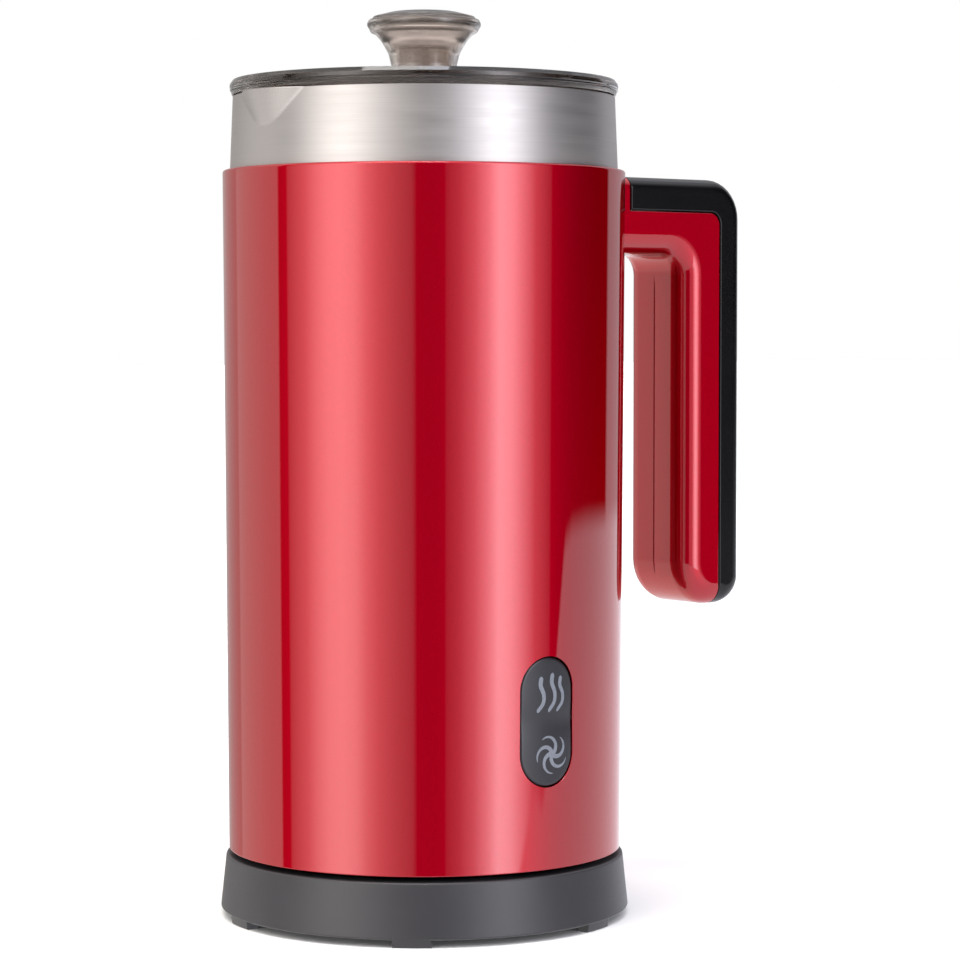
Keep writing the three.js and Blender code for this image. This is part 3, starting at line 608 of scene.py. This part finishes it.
def opening_cutter():
    """A pill-shaped bar through the shell's front, where the button goes."""
    opening = pill_points(OPENING_LENGTH, OPENING_WIDTH, 24)
    count = len(opening)
    points = [(x, y, BUTTON_MIDDLE + z) for y in (-60, -40) for x, z in opening]
    faces = [(i, (i + 1) % count, count + (i + 1) % count, count + i) for i in range(count)]
    faces += [tuple(reversed(range(count))), tuple(range(count, 2 * count))]
    cutter = add_piece("button_opening", points, faces, "jug", "red_lacquer")
    fix_normals(cutter)
    return cutter


def pill_points(length, width, steps):
    """An upright pill's outline as (x, z), anticlockwise."""
    radius, straight = width / 2, (length - width) / 2
    points = []
    for k in range(steps + 1):
        angle = math.pi * k / steps
        points.append((radius * math.cos(angle), straight + radius * math.sin(angle)))
    for k in range(steps + 1):
        angle = math.pi + math.pi * k / steps
        points.append((radius * math.cos(angle), -straight + radius * math.sin(angle)))
    return points


def spout_push(angle, radius, height):
    """How far the pouring lip is pressed out: a blunt V with sharp flanks, deepest at the rim."""
    up = 1 - (POT.top - height) / SPOUT_DROP
    if up <= 0 or radius < POT_RADIUS:
        return 0
    share = (0.28 + 0.72 * up) * up / (up + 0.02)
    across = abs(angle % TURN - math.pi) / (SPOUT_HALF_ANGLE * share)
    return SPOUT_REACH * (0.35 * math.sqrt(up) + 0.65 * up) * max(0, 1 - across ** 1.8)


def add_pot():
    """The stainless pot. Its collar shows above the shell, with the pouring lip."""
    wall, floor = 0.8, POT.bottom
    top, middle = 51.1, 51.9
    neck_bottom, neck_top = 186, 194.5
    rows, zone = 24, SPOUT_DROP + 0.3
    heights = [POT.top - zone * (1 - k / rows) for k in range(rows)]
    slope = (middle - top) / (POT.top - SHELL.top)
    outside = [(middle - (height - SHELL.top) * slope, height) for height in heights]
    corners = [
        (0, floor, 0),
        (POT_RADIUS, floor, 3),
        (POT_RADIUS, neck_bottom, 2),
        (middle, neck_top, 2),
        (middle, SHELL.top, 0),
        *[(radius, height, 0) for radius, height in outside],
        (top, POT.top, 0.25),
        (top - wall, POT.top, 0.25),
        *[(radius - wall, height, 0) for radius, height in reversed(outside)],
        (middle - wall, SHELL.top, 0),
        (middle - wall, neck_top + 0.3, 2),
        (POT_RADIUS - wall, neck_bottom + 0.3, 2),
        (POT_RADIUS - wall, floor + wall, 3),
        (0, floor + wall, 0),
    ]
    turned(
        "steel_pot",
        corners,
        "jug",
        "brushed_steel",
        ["pot"],
        segments=432,
        steps=6,
        shift=spout_push,
        sharp=40,
    )


def add_bottom_cover():
    """The jug's underside, with the ring that it stands on."""
    low, high, ring = 18.2, 21.2, 14.8
    hole, rim = 14.4, SHELL.radius - 2.8
    turned(
        "jug_underside",
        [
            (hole, low, 0.3),
            (40, low, 0.2),
            (40, ring, 0.4),
            (44, ring, 0.4),
            (44, low, 0.2),
            (rim, low, 0.3),
            (rim, high, 0.3),
            (hole, high, 0.2),
        ],
        "jug",
        "black_plastic",
        ["jug_bottom_cover"],
        segments=144,
    )


# ---- Button ----
FACE_RADIUS = 52.7
FACE_SPREAD = 0.2
FACE_DEPTH = 3.4
DIP_DEPTH = 0.22
DIP_HEIGHT = 3.4
SYMBOL_X = 1.0


def rocker_point(x, z, depth):
    """A point of the button's face, which follows the shell and dips a little across its middle."""
    dip = DIP_DEPTH * math.exp(-((z / DIP_HEIGHT) ** 2))
    return (x, -math.sqrt(FACE_RADIUS ** 2 - x * x) + depth + dip, BUTTON_MIDDLE + z)


def add_button():
    """The rocker: a pill with a rounded rim, in rings that shrink towards its upright middle line."""
    length = BUTTON.top - BUTTON.bottom + 2 * FACE_SPREAD
    width = BUTTON.right - BUTTON.left + 2 * FACE_SPREAD
    edge, steps, parts, arc = 0.7, 20, 14, 5
    rings = [(0, FACE_DEPTH), (0, edge)]
    for k in range(1, arc + 1):
        angle = math.pi / 2 * k / arc
        rings.append((edge * (1 - math.cos(angle)), edge * (1 - math.sin(angle))))
    inner = width / 2 - 0.8
    rings += [(edge + (inner - edge) * k / 9, 0) for k in range(1, 10)]
    points, faces = [], []
    for inset, depth in rings:
        outline = pill_points(length - 2 * inset, width - 2 * inset, steps)
        points += [rocker_point(x, z, depth) for x, z in split_straights(outline, steps, parts)]
    count = len(points) // len(rings)
    for k in range(len(rings) - 1):
        for i in range(count):
            j = (i + 1) % count
            faces.append((k * count + i, k * count + j, (k + 1) * count + j, (k + 1) * count + i))
    for ring in (0, len(rings) - 1):
        start, top = ring * count, steps // 2
        for k in range(count // 2):
            row = [(top + k) % count, (top + k + 1) % count, (top - k - 1) % count, (top - k) % count]
            faces.append([start + i for i in dict.fromkeys(row)])
    rocker = add_piece("rocker_face", points, faces, "button", "button_plastic", ["button_rocker"])
    fix_normals(rocker)
    add_symbols()


def split_straights(outline, steps, parts):
    """Adds points along the pill's two straight sides, so that its crease has something to bend."""
    first, second = outline[: steps + 1], outline[steps + 1 :]

    def between(start, end):
        return [(start[0], start[1] + (end[1] - start[1]) * k / parts) for k in range(1, parts)]

    return first + between(first[-1], second[0]) + second + between(second[-1], first[0])


def add_ribbon(name, line, widths):
    """A printed stroke along a line of (x, z) on the button's face, with its width at each point."""
    points, faces = [], []
    for i, (x, z) in enumerate(line):
        ahead = Vector(line[min(i + 1, len(line) - 1)]) - Vector(line[max(i - 1, 0)])
        across = Vector((-ahead.y, ahead.x)).normalized() * widths[i] / 2
        for depth in (-0.05, 0.05):
            points.append(rocker_point(x + across.x, z + across.y, depth))
            points.append(rocker_point(x - across.x, z - across.y, depth))
    for i in range(len(line) - 1):
        a, b = 4 * i, 4 * i + 4
        faces += [(a, a + 1, b + 1, b), (a + 2, b + 2, b + 3, a + 3)]
        faces += [(a, b, b + 2, a + 2), (a + 1, a + 3, b + 3, b + 1)]
    faces += [(0, 2, 3, 1), (len(points) - 4, len(points) - 3, len(points) - 1, len(points) - 2)]
    ribbon = add_piece(name, points, faces, "button", "button_plastic", material=SYMBOL_PRINT)
    fix_normals(ribbon)


def along(knots, t):
    """A smooth curve through evenly spaced knots, at t from 0 to 1."""
    place = t * (len(knots) - 1)
    i = min(int(place), len(knots) - 2)
    u = place - i
    p0, p1, p2, p3 = knots[max(i - 1, 0)], knots[i], knots[i + 1], knots[min(i + 2, len(knots) - 1)]
    squared = 2 * p0 - 5 * p1 + 4 * p2 - p3
    cubed = 3 * p1 - p0 - 3 * p2 + p3
    return 0.5 * (2 * p1 + (p2 - p0) * u + squared * u * u + cubed * u ** 3)


def add_symbols():
    """Three rising waves for heat over a five-armed whirl for froth."""
    count = 24
    ts = [k / count for k in range(count + 1)]
    for index, (x, top, width) in enumerate([(-3.1, 11.8, 1.35), (0.55, 12.6, 1.3), (3.3, 11.7, 1.15)]):
        bend = [0, -0.3, 0.7, 0.5, -1.3]
        line = [(SYMBOL_X + x + along(bend, t), top - (top - 2.5) * t) for t in ts]
        widths = [width * math.sqrt(max(0.02, 1 - (1 - 2 * t) ** 16)) * (1 - 0.25 * t) for t in ts]
        add_ribbon(f"heat_wave_{index + 1}", line, widths)
    middle, reach = Vector((SYMBOL_X + 0.35, -8.4)), 5.0
    for arm in range(5):
        line = []
        for t in ts:
            angle = math.radians(58 + 72 * arm - 105 * (1 - t))
            out = Vector((math.cos(angle), math.sin(angle)))
            line.append(tuple(middle + out * reach * math.sin(t * math.pi / 2)))
        widths = [1.2 * (1 - t) ** 0.6 + 0.06 for t in ts]
        add_ribbon(f"froth_arm_{arm + 1}", line, widths)


# ---- Handle ----
HALF_WIDTH = (HANDLE.back - HANDLE.front) / 2
HANDLE_GRIP_INNER = 82.0
ARM_BOTTOM = HANDLE.bottom + 99.3
BACK_THICKNESS = 8.6
ARM_COVER_THICKNESS = 9.3
COVER_START = 62
ROOT_X = 53.9
ROOT_GAP = 0.12
ROOT_BLEND = 8
INNER_ROUNDING = 6.2
OUTER_ROUNDING = 3.6
SEAM_ROUNDING = 0.35
SEAM_GAP = 0.15
PARTING_HALF_WIDTH = 0.2
PARTING_TOP = ARM_BOTTOM - 7
BESIDE_CORNER = 0.4


def handle_outline(corners, steps=9):
    """Corners of (x, z, fillet, rounding of the edge that follows) as points with both edge roundings."""
    points = []
    count = len(corners)
    for i, (x, z, fillet, after) in enumerate(corners):
        before = corners[i - 1][3]
        if fillet <= 0:
            points.append((x, z, before, after))
            continue
        last, following = corners[i - 1], corners[(i + 1) % count]
        arc = rounded([(*last[:2], 0), (x, z, fillet), (*following[:2], 0)], steps)[1:-1]
        for k, (px, pz) in enumerate(arc):
            mixed = before + (after - before) * k / (len(arc) - 1)
            points.append((px, pz, mixed, mixed))
    return points


def edge_shares(points, longest):
    """Where points are added along each edge: evenly, and close to both ends of a long one."""
    shares = []
    for i, point in enumerate(points):
        distance = math.dist(point[:2], points[(i + 1) % len(points)][:2])
        parts = max(1, math.ceil(distance / longest))
        added = [k / parts for k in range(1, parts)]
        if distance > 6 * BESIDE_CORNER:
            added = [BESIDE_CORNER / distance, *added, 1 - BESIDE_CORNER / distance]
        shares.append([0, *added])
    return shares


def split_edges(points, shares):
    """The outline with its added points, so that the shading stays even up to each corner."""
    made = []
    for i, here in enumerate(points):
        following = points[(i + 1) % len(points)]
        made.extend(here.lerp(following, share) for share in shares[i])
    return made


def inset_of(rounding, y):
    """How far a rounded edge draws the outline in at a distance y from the handle's middle."""
    beyond = abs(y) - (HALF_WIDTH - rounding)
    if rounding <= 0 or beyond <= 0:
        return 0
    return rounding - math.sqrt(max(0, rounding ** 2 - beyond ** 2))


def inset_outline(points, y):
    """The outline drawn in at y by each edge's own rounding."""
    made = []
    count = len(points)
    for i, (x, z, before, after) in enumerate(points):
        here = Vector((x, z))
        back = (here - Vector(points[i - 1][:2])).normalized()
        ahead = (Vector(points[(i + 1) % count][:2]) - here).normalized()
        n1, n2 = Vector((-back.y, back.x)), Vector((-ahead.y, ahead.x))
        d1, d2 = inset_of(before, y), inset_of(after, y)
        spread = n1.x * n2.y - n1.y * n2.x
        if abs(spread) < 0.35:
            normal = (n1 + n2).normalized()
            move = normal * ((d1 + d2) / 2)
        else:
            move = Vector(((d1 * n2.y - d2 * n1.y) / spread, (d2 * n1.x - d1 * n2.x) / spread))
        made.append(here + move)
    return made


def handle_levels():
    """Heights across the handle's width, close together where its edges round."""
    side = {0.0, 0.12, 0.3}
    for rounding in (INNER_ROUNDING, OUTER_ROUNDING, SEAM_ROUNDING):
        for k in range(9):
            side.add(round(HALF_WIDTH - rounding + rounding * math.sin(math.pi / 2 * k / 8), 4))
    side = sorted(y for y in side if y <= HALF_WIDTH)
    return sorted({-y for y in side} | set(side))


def lofted_handle(name, corners, finish, node, root=False, parting=0.0):
    """A handle piece: its side outline repeated across the handle's width. Parting is its groove's depth."""
    outline = handle_outline(corners)
    shares = edge_shares(outline, 4.0)
    levels = handle_levels()
    points, faces = [], []
    for y in levels:
        for x, z in split_edges(inset_outline(outline, y), shares):
            if abs(y) < PARTING_HALF_WIDTH and x < HANDLE_GRIP_INNER + 0.6 and z < PARTING_TOP:
                x += parting
            points.append((follow_shell(x, y, z) if root else x, y, z))
    count = sum(len(added) for added in shares)
    for k in range(len(levels) - 1):
        for i in range(count):
            j = (i + 1) % count
            faces.append((k * count + i, k * count + j, (k + 1) * count + j, (k + 1) * count + i))
    faces.append(tuple(range(count)))
    last = (len(levels) - 1) * count
    faces.append(tuple(last + i for i in reversed(range(count))))
    piece = add_piece(name, points, faces, "jug", finish, [node], sharp=50)
    fix_normals(piece)
    return piece


def follow_shell(x, y, z):
    """Draws the handle's root in to the shell's curve."""
    share = (z - SHELL.bottom) / (SHELL.top - SHELL.bottom)
    wall = SHELL.radius - SHELL_TAPER * (1 - share) + ROOT_GAP
    near = max(0, 1 - (x - ROOT_X) / ROOT_BLEND)
    return x + near * (math.sqrt(wall ** 2 - y * y) - ROOT_X)


def add_handle():
    """The red body, with soft inner edges, and the black cover over the arm and down the back."""
    outer, top, bottom = HANDLE_BACK.right, HANDLE_BACK.top, HANDLE.bottom
    seam_x, seam_z, start = outer - BACK_THICKNESS, top - ARM_COVER_THICKNESS, COVER_START
    lofted_handle(
        "handle_grip",
        [
            (ROOT_X, ARM_BOTTOM, 0, INNER_ROUNDING),
            (HANDLE_GRIP_INNER, ARM_BOTTOM, 5.5, INNER_ROUNDING),
            (HANDLE_GRIP_INNER, bottom, 12.5, INNER_ROUNDING),
            (seam_x - SEAM_GAP, bottom, 0, SEAM_ROUNDING),
            (seam_x - SEAM_GAP, seam_z - SEAM_GAP, 3.5, SEAM_ROUNDING),
            (start - SEAM_GAP, seam_z - SEAM_GAP, 0, SEAM_ROUNDING),
            (start - SEAM_GAP, top, 0, OUTER_ROUNDING),
            (ROOT_X, top, 0, 0),
        ],
        "red_lacquer",
        "handle_body",
        root=True,
        parting=0.18,
    )
    lofted_handle(
        "handle_cover",
        [
            (start + SEAM_GAP, seam_z + SEAM_GAP, 0, SEAM_ROUNDING),
            (seam_x + SEAM_GAP, seam_z + SEAM_GAP, 3.4, SEAM_ROUNDING),
            (seam_x + SEAM_GAP, bottom, 0, INNER_ROUNDING),
            (outer, bottom, 7.2, OUTER_ROUNDING),
            (outer, top, 11, OUTER_ROUNDING),
            (start + SEAM_GAP, top, 0, SEAM_ROUNDING),
        ],
        "black_plastic",
        "handle_back",
    )


# ---- Lid ----
def add_lid():
    """The smoke-clear lid with its boss, its grooved rim and the seal under it."""
    low, rim, skirt = LID.bottom + 7.75, LID.radius, 48.4
    seat, boss = skirt + 0.2, 6.7
    turned(
        "lid_plate",
        [
            (0, low + 1.9, 0),
            (skirt - 2, low + 1.7, 0.6),
            (skirt - 2, LID.bottom, 0.4),
            (skirt, LID.bottom, 0.4),
            (skirt, low + 3.9, 0.3),
            (boss + 5, low + 4.7, 2),
            (boss + 0.3, low + 4.8, 0),
            (0, low + 4.8, 0),
        ],
        "lid",
        "smoke_plastic",
        ["lid_cover"],
        segments=216,
        steps=5,
        material=PLATE_SMOKE,
    )
    # The rim's dark tint is painted shade, for the long path of light through the thick plastic.
    turned(
        "lid_rim",
        [
            (seat, low + 1.2, 0.2),
            (rim - 0.3, low + 1.15, 0.1),
            (rim - 0.02, low + 1.35, 0.12),
            (rim - 0.35, low + 1.65, 0.1),
            (rim - 0.05, low + 1.95, 0.15),
            (rim, low + 2.4, 0.3),
            (rim - 0.08, low + 2.95, 0.15),
            (rim - 0.85, low + 4.0, 0.12),
            (rim - 1.7, low + 4.0, 0.3),
            (rim - 2.3, low + 3.7, 0.25),
            (seat, low + 4.0, 0.3),
        ],
        "lid",
        "smoke_plastic",
        segments=216,
        steps=5,
        material=RIM_SMOKE_PAINTED_SHADE,
    )
    # This band's darker tint is painted shade, for the shadow in the gap between lid and pot.
    turned(
        "lid_lower_band",
        [(seat, low, 0.1), (rim - 0.65, low, 0.15), (rim - 0.35, low + 1.1, 0.1), (seat, low + 1.1, 0.1)],
        "lid",
        "smoke_plastic",
        segments=216,
        material=SMOKE_PAINTED_SHADE,
    )
    turned(
        "lid_boss",
        [(0, low + 4.85, 0), (boss, low + 4.85, 0.1), (boss, LID.top, 0.5), (0, LID.top, 0)],
        "lid",
        "smoke_plastic",
        segments=72,
    )
    turned(
        "lid_gasket",
        [
            (48.7, low - 6.7, 0.3),
            (49.8, low - 6.1, 0.5),
            (49.2, low - 4, 0.3),
            (49.8, low - 1.8, 0.5),
            (48.7, low - 1.2, 0.3),
        ],
        "lid",
        "silicone",
        ["lid_seal"],
        segments=144,
    )


def add_knob():
    """The lid's hollow knob, waisted, with its domed cap."""
    top = KNOB.top
    turned(
        "lid_handle",
        [
            (0, top - 2.9, 0),
            (12.7, top - 3.0, 0.6),
            (13.0, top - 3.8, 0.8),
            (12.0, top - 5.4, 1),
            (9.5, top - 7.9, 4),
            (7.7, top - 11.2, 4),
            (7.2, top - 14.4, 3),
            (7.15, KNOB.bottom, 0.2),
            (8.75, KNOB.bottom, 0.3),
            (8.8, top - 14.4, 3),
            (9.5, top - 11.4, 5),
            (11.4, top - 8.1, 5),
            (13.2, top - 6.1, 0.8),
            (14.1, top - 5.85, 0.2),
            (14.5, top - 5.35, 0.3),
            (14.55, top - 5.05, 0.1),
            (KNOB.radius, top - 3.7, 1.2),
            (14.75, top - 2.45, 0.4),
            (13.9, top - 2.3, 0.1),
            (0, top - 2.3, 0),
        ],
        "lid",
        "smoke_plastic",
        ["lid_knob"],
        segments=144,
        steps=6,
    )
    # The cap is tinted darker than the rest of the knob: painted shade on the dome.
    turned(
        "lid_handle_cap",
        [
            (0, top - 2.25, 0),
            (13.9, top - 2.25, 0.1),
            (13.6, top - 1.65, 0.3),
            (9, top - 0.45, 8),
            (0, top, 0),
        ],
        "lid",
        "smoke_plastic",
        segments=144,
        steps=6,
        material=SMOKE_PAINTED_SHADE,
    )


# ---- Whisk ----
def add_whisk():
    """The whisk's cap with the grip that lifts it out."""
    turned(
        "whisk_hub",
        [
            (0, 93.6, 0),
            (3.4, 93.6, 0.2),
            (3.4, 86.5, 0.2),
            (12.6, 86.5, 0.2),
            (12.6, 87.9, 0.4),
            (6, 88.8, 2.5),
            (4.8, 92, 1.5),
            (4.8, 98, 1.5),
            (6, 101, 1),
            (6, 104, 0.8),
            (0, 104, 0),
        ],
        "whisk",
        "black_plastic",
        ["whisk_cap"],
        segments=72,
    )


def add_coil():
    """The fine spring that runs round the whisk's hoop."""
    hoop, coil, height, wire, turns = 17.0, 2.5, 84.4, 0.45, 24
    steps, sides = 24, 10
    points, faces = [], []
    total = steps * turns
    for i in range(total):
        angle = TURN * i / total
        phase = turns * angle
        around = Vector((math.cos(angle), math.sin(angle), 0))
        out = around * math.cos(phase) + Vector((0, 0, 1)) * math.sin(phase)
        centre = around * hoop + Vector((0, 0, height)) + out * coil
        side = Vector((-math.sin(angle), math.cos(angle), 0))
        for k in range(sides):
            turn = TURN * k / sides
            points.append(tuple(centre + (out * math.cos(turn) + side * math.sin(turn)) * wire))
    for i in range(total):
        for k in range(sides):
            a, b = i * sides, ((i + 1) % total) * sides
            faces.append((a + k, a + (k + 1) % sides, b + (k + 1) % sides, b + k))
    spring = add_piece("whisk_spring", points, faces, "whisk", "brushed_steel", ["whisk_coil"])
    fix_normals(spring)


# ---- Everything else keeps its CAD shape ----
def finish_frame():
    """Every CAD node that still shows gets its own slot's material."""
    slots = {row["node"]: row["material_slot"] for row in frame["record"]["subparts"]}
    for node, piece in frame["nodes"].items():
        piece.data.materials.clear()
        piece.data.materials.append(MATERIALS[slots[node]])


# ---- Studio ----
def add_floor():
    half = 12.0
    mesh = bpy.data.meshes.new("floor")
    corners = [(-half, -half, 0), (half, -half, 0), (half, half, 0), (-half, half, 0)]
    mesh.from_pydata(corners, [], [(0, 1, 2, 3)])
    shader = Shader("floor_paper", Roughness=0.9, Specular_IOR_Level=0.1)
    shader.principled.inputs["Base Color"].default_value = (0.90, 0.90, 0.90, 1)
    mesh.materials.append(shader.material)
    floor = bpy.data.objects.new("floor", mesh)
    SCENE.collection.objects.link(floor)
    floor.visible_glossy = False


# Brightness round the object, by degrees from the camera's side, anticlockwise seen from above
STUDIO = [
    (-180, 0.55),
    (-135.2, 0.6),
    (-134.2, 0.97),
    (-111, 1.15),
    (-91, 1.15),
    (-90.2, 0.02),
    (-83.7, 0.02),
    (-82.9, 0.6),
    (-71, 1.5),
    (-63, 2.9),
    (-56, 3.9),
    (-48, 4.3),
    (-40, 3.8),
    (-33, 2.3),
    (-26, 1.45),
    (-18, 1.0),
    (-6, 0.5),
    (-5.2, 0.01),
    (11.6, 0.01),
    (12.4, 0.25),
    (20, 0.6),
    (28.4, 1.55),
    (36, 3.4),
    (43, 6.3),
    (50, 5.4),
    (57.5, 3.1),
    (66, 0.95),
    (76.5, 0.25),
    (77.3, 0),
    (128.5, 0),
    (130, 0.8),
    (180, 0.5),
]
# The light from above, and where it starts and is full, as the sine of the angle over the horizon
TOP_LIGHT = 1.6
TOP_START, TOP_END = 0.45, 0.85
# The white table as glosses see it: how far below the horizon it starts, as the sine of the angle
TABLE_EDGE = [
    (-180, 0.2),
    (50, 0.2),
    (60, 0.172),
    (67, 0.155),
    (72, 0.16),
    (77, 0.142),
    (84, 0.1),
    (88, 0.076),
    (94, 0.07),
    (106, 0.067),
    (128, 0.064),
    (180, 0.055),
]
TABLE_LIGHT = 1.35
TABLE_BLUR = 0.006
# The softbox overhead, as its edges across and towards the camera for each unit of height
SOFTBOX_ACROSS = (-0.48, 0.16)
SOFTBOX_NEARER = (0.11, 0.37)
SOFTBOX_LIGHT = 8.5
WARM, COOL = (1.0, 0.972, 0.94), (0.96, 0.97, 1.035)


def fill_ramp(ramp, stops, brightest):
    """Sets a ramp over a whole turn from stops in degrees."""
    elements = ramp.elements
    while len(elements) > 1:
        elements.remove(elements[-1])
    for index, (degrees, value) in enumerate(stops):
        place = degrees / 360 + 0.5
        element = elements[0] if index == 0 else elements.new(place)
        element.position = place
        element.color = (value / brightest,) * 3 + (1,)


class Studio(Nodes):
    """The world's nodes: how bright and how warm a round studio is in each direction."""

    def __init__(self, tree):
        super().__init__(tree)
        parts = self.node("ShaderNodeSeparateXYZ")
        self.link(self.node("ShaderNodeTexCoord").outputs["Generated"], parts.inputs[0])
        self.up = parts.outputs["Z"]
        towards_front = self.maths("MULTIPLY", parts.outputs["Y"], -1)
        azimuth = self.maths("ARCTAN2", parts.outputs["X"], towards_front)
        self.from_camera = self.maths("SUBTRACT", azimuth, CAMERA_AZIMUTH)
        self.share = self.maths("FRACT", self.maths("ADD", self.maths("DIVIDE", self.from_camera, TURN), 1.5))

    def maths(self, operation, first, second=0):
        made = self.node("ShaderNodeMath", operation=operation)
        for socket, value in zip(made.inputs, (first, second)):
            if isinstance(value, (int, float)):
                socket.default_value = value
            else:
                self.link(value, socket)
        return made.outputs[0]

    def round_ramp(self, stops, brightest):
        """Follows stops in degrees round the studio, as a share of the brightest."""
        made = self.node("ShaderNodeValToRGB")
        fill_ramp(made.color_ramp, stops, brightest)
        self.link(self.share, made.inputs["Fac"])
        return made.outputs["Color"]

    def rise(self, value, start, end, **values):
        """Goes from 0 at the start to 1 at the end."""
        made = self.node("ShaderNodeMapRange", **values)
        made.inputs["From Min"].default_value = start
        made.inputs["From Max"].default_value = end
        self.link(value, made.inputs["Value"])
        return made.outputs["Result"]

    def faded(self, first, second, share):
        """The first, replaced by the second as the share goes to 1."""
        kept = self.maths("MULTIPLY", first, self.maths("SUBTRACT", 1, share))
        return self.maths("ADD", kept, self.maths("MULTIPLY", share, second))

    def surroundings(self):
        """Bright panels with dark gaps between them, over the table and under the light from above."""
        brightest = max(value for _, value in STUDIO)
        panels = self.maths("MULTIPLY", self.round_ramp(STUDIO, brightest), brightest)
        below_edge = self.maths("ADD", self.up, self.round_ramp(TABLE_EDGE, 1))
        on_table = self.rise(below_edge, TABLE_BLUR, -TABLE_BLUR, interpolation_type="SMOOTHSTEP")
        overhead = self.rise(self.up, TOP_START, TOP_END, interpolation_type="SMOOTHSTEP")
        return self.faded(self.faded(panels, TABLE_LIGHT, on_table), TOP_LIGHT, overhead)

    def softbox(self):
        """1 inside the softbox overhead and 0 outside it."""
        level = self.maths("SQRT", self.maths("SUBTRACT", 1, self.maths("POWER", self.up, 2)))
        slope = self.maths("DIVIDE", level, self.maths("MAXIMUM", self.up, 0.001))
        inside = []
        for operation, (low, high) in (("SINE", SOFTBOX_ACROSS), ("COSINE", SOFTBOX_NEARER)):
            place = self.maths("MULTIPLY", slope, self.maths(operation, self.from_camera))
            within = self.maths("COMPARE", place, (low + high) / 2)
            within.node.inputs[2].default_value = (high - low) / 2
            inside.append(within)
        return self.maths("MULTIPLY", *inside)

    def tint(self):
        """Warm light on one side of the camera and cool light on the other."""
        side = self.rise(self.maths("SINE", self.from_camera), -0.3, 0.3)
        made = self.node("ShaderNodeValToRGB")
        made.color_ramp.elements[0].color = (*WARM, 1)
        made.color_ramp.elements[1].color = (*COOL, 1)
        self.link(self.maths("MAXIMUM", side, 0), made.inputs["Fac"])
        return made.outputs["Color"]


def add_studio():
    """The studio as the world. It lights the object, but behind it the picture shows plain white."""
    world = bpy.data.worlds.new("studio")
    SCENE.world = world
    world.use_nodes = True
    world.node_tree.nodes.clear()
    studio = Studio(world.node_tree)
    softbox = studio.maths("MULTIPLY", studio.softbox(), SOFTBOX_LIGHT)
    background = studio.node("ShaderNodeBackground")
    studio.link(studio.tint(), background.inputs["Color"])
    studio.link(studio.maths("ADD", studio.surroundings(), softbox), background.inputs["Strength"])
    backdrop = studio.node("ShaderNodeBackground")
    backdrop.inputs["Color"].default_value = (1, 1, 1, 1)
    chosen = studio.node("ShaderNodeMixShader")
    studio.link(studio.node("ShaderNodeLightPath").outputs["Is Camera Ray"], chosen.inputs[0])
    studio.link(background.outputs[0], chosen.inputs[1])
    studio.link(backdrop.outputs[0], chosen.inputs[2])
    output = studio.node("ShaderNodeOutputWorld")
    studio.link(chosen.outputs[0], output.inputs["Surface"])


SCENE.view_settings.view_transform = "Standard"
add_camera()
finish_frame()
add_base()
add_connectors()
add_shell()
add_pot()
add_bottom_cover()
add_button()
add_handle()
add_lid()
add_knob()
add_whisk()
add_coil()
add_floor()
add_studio()
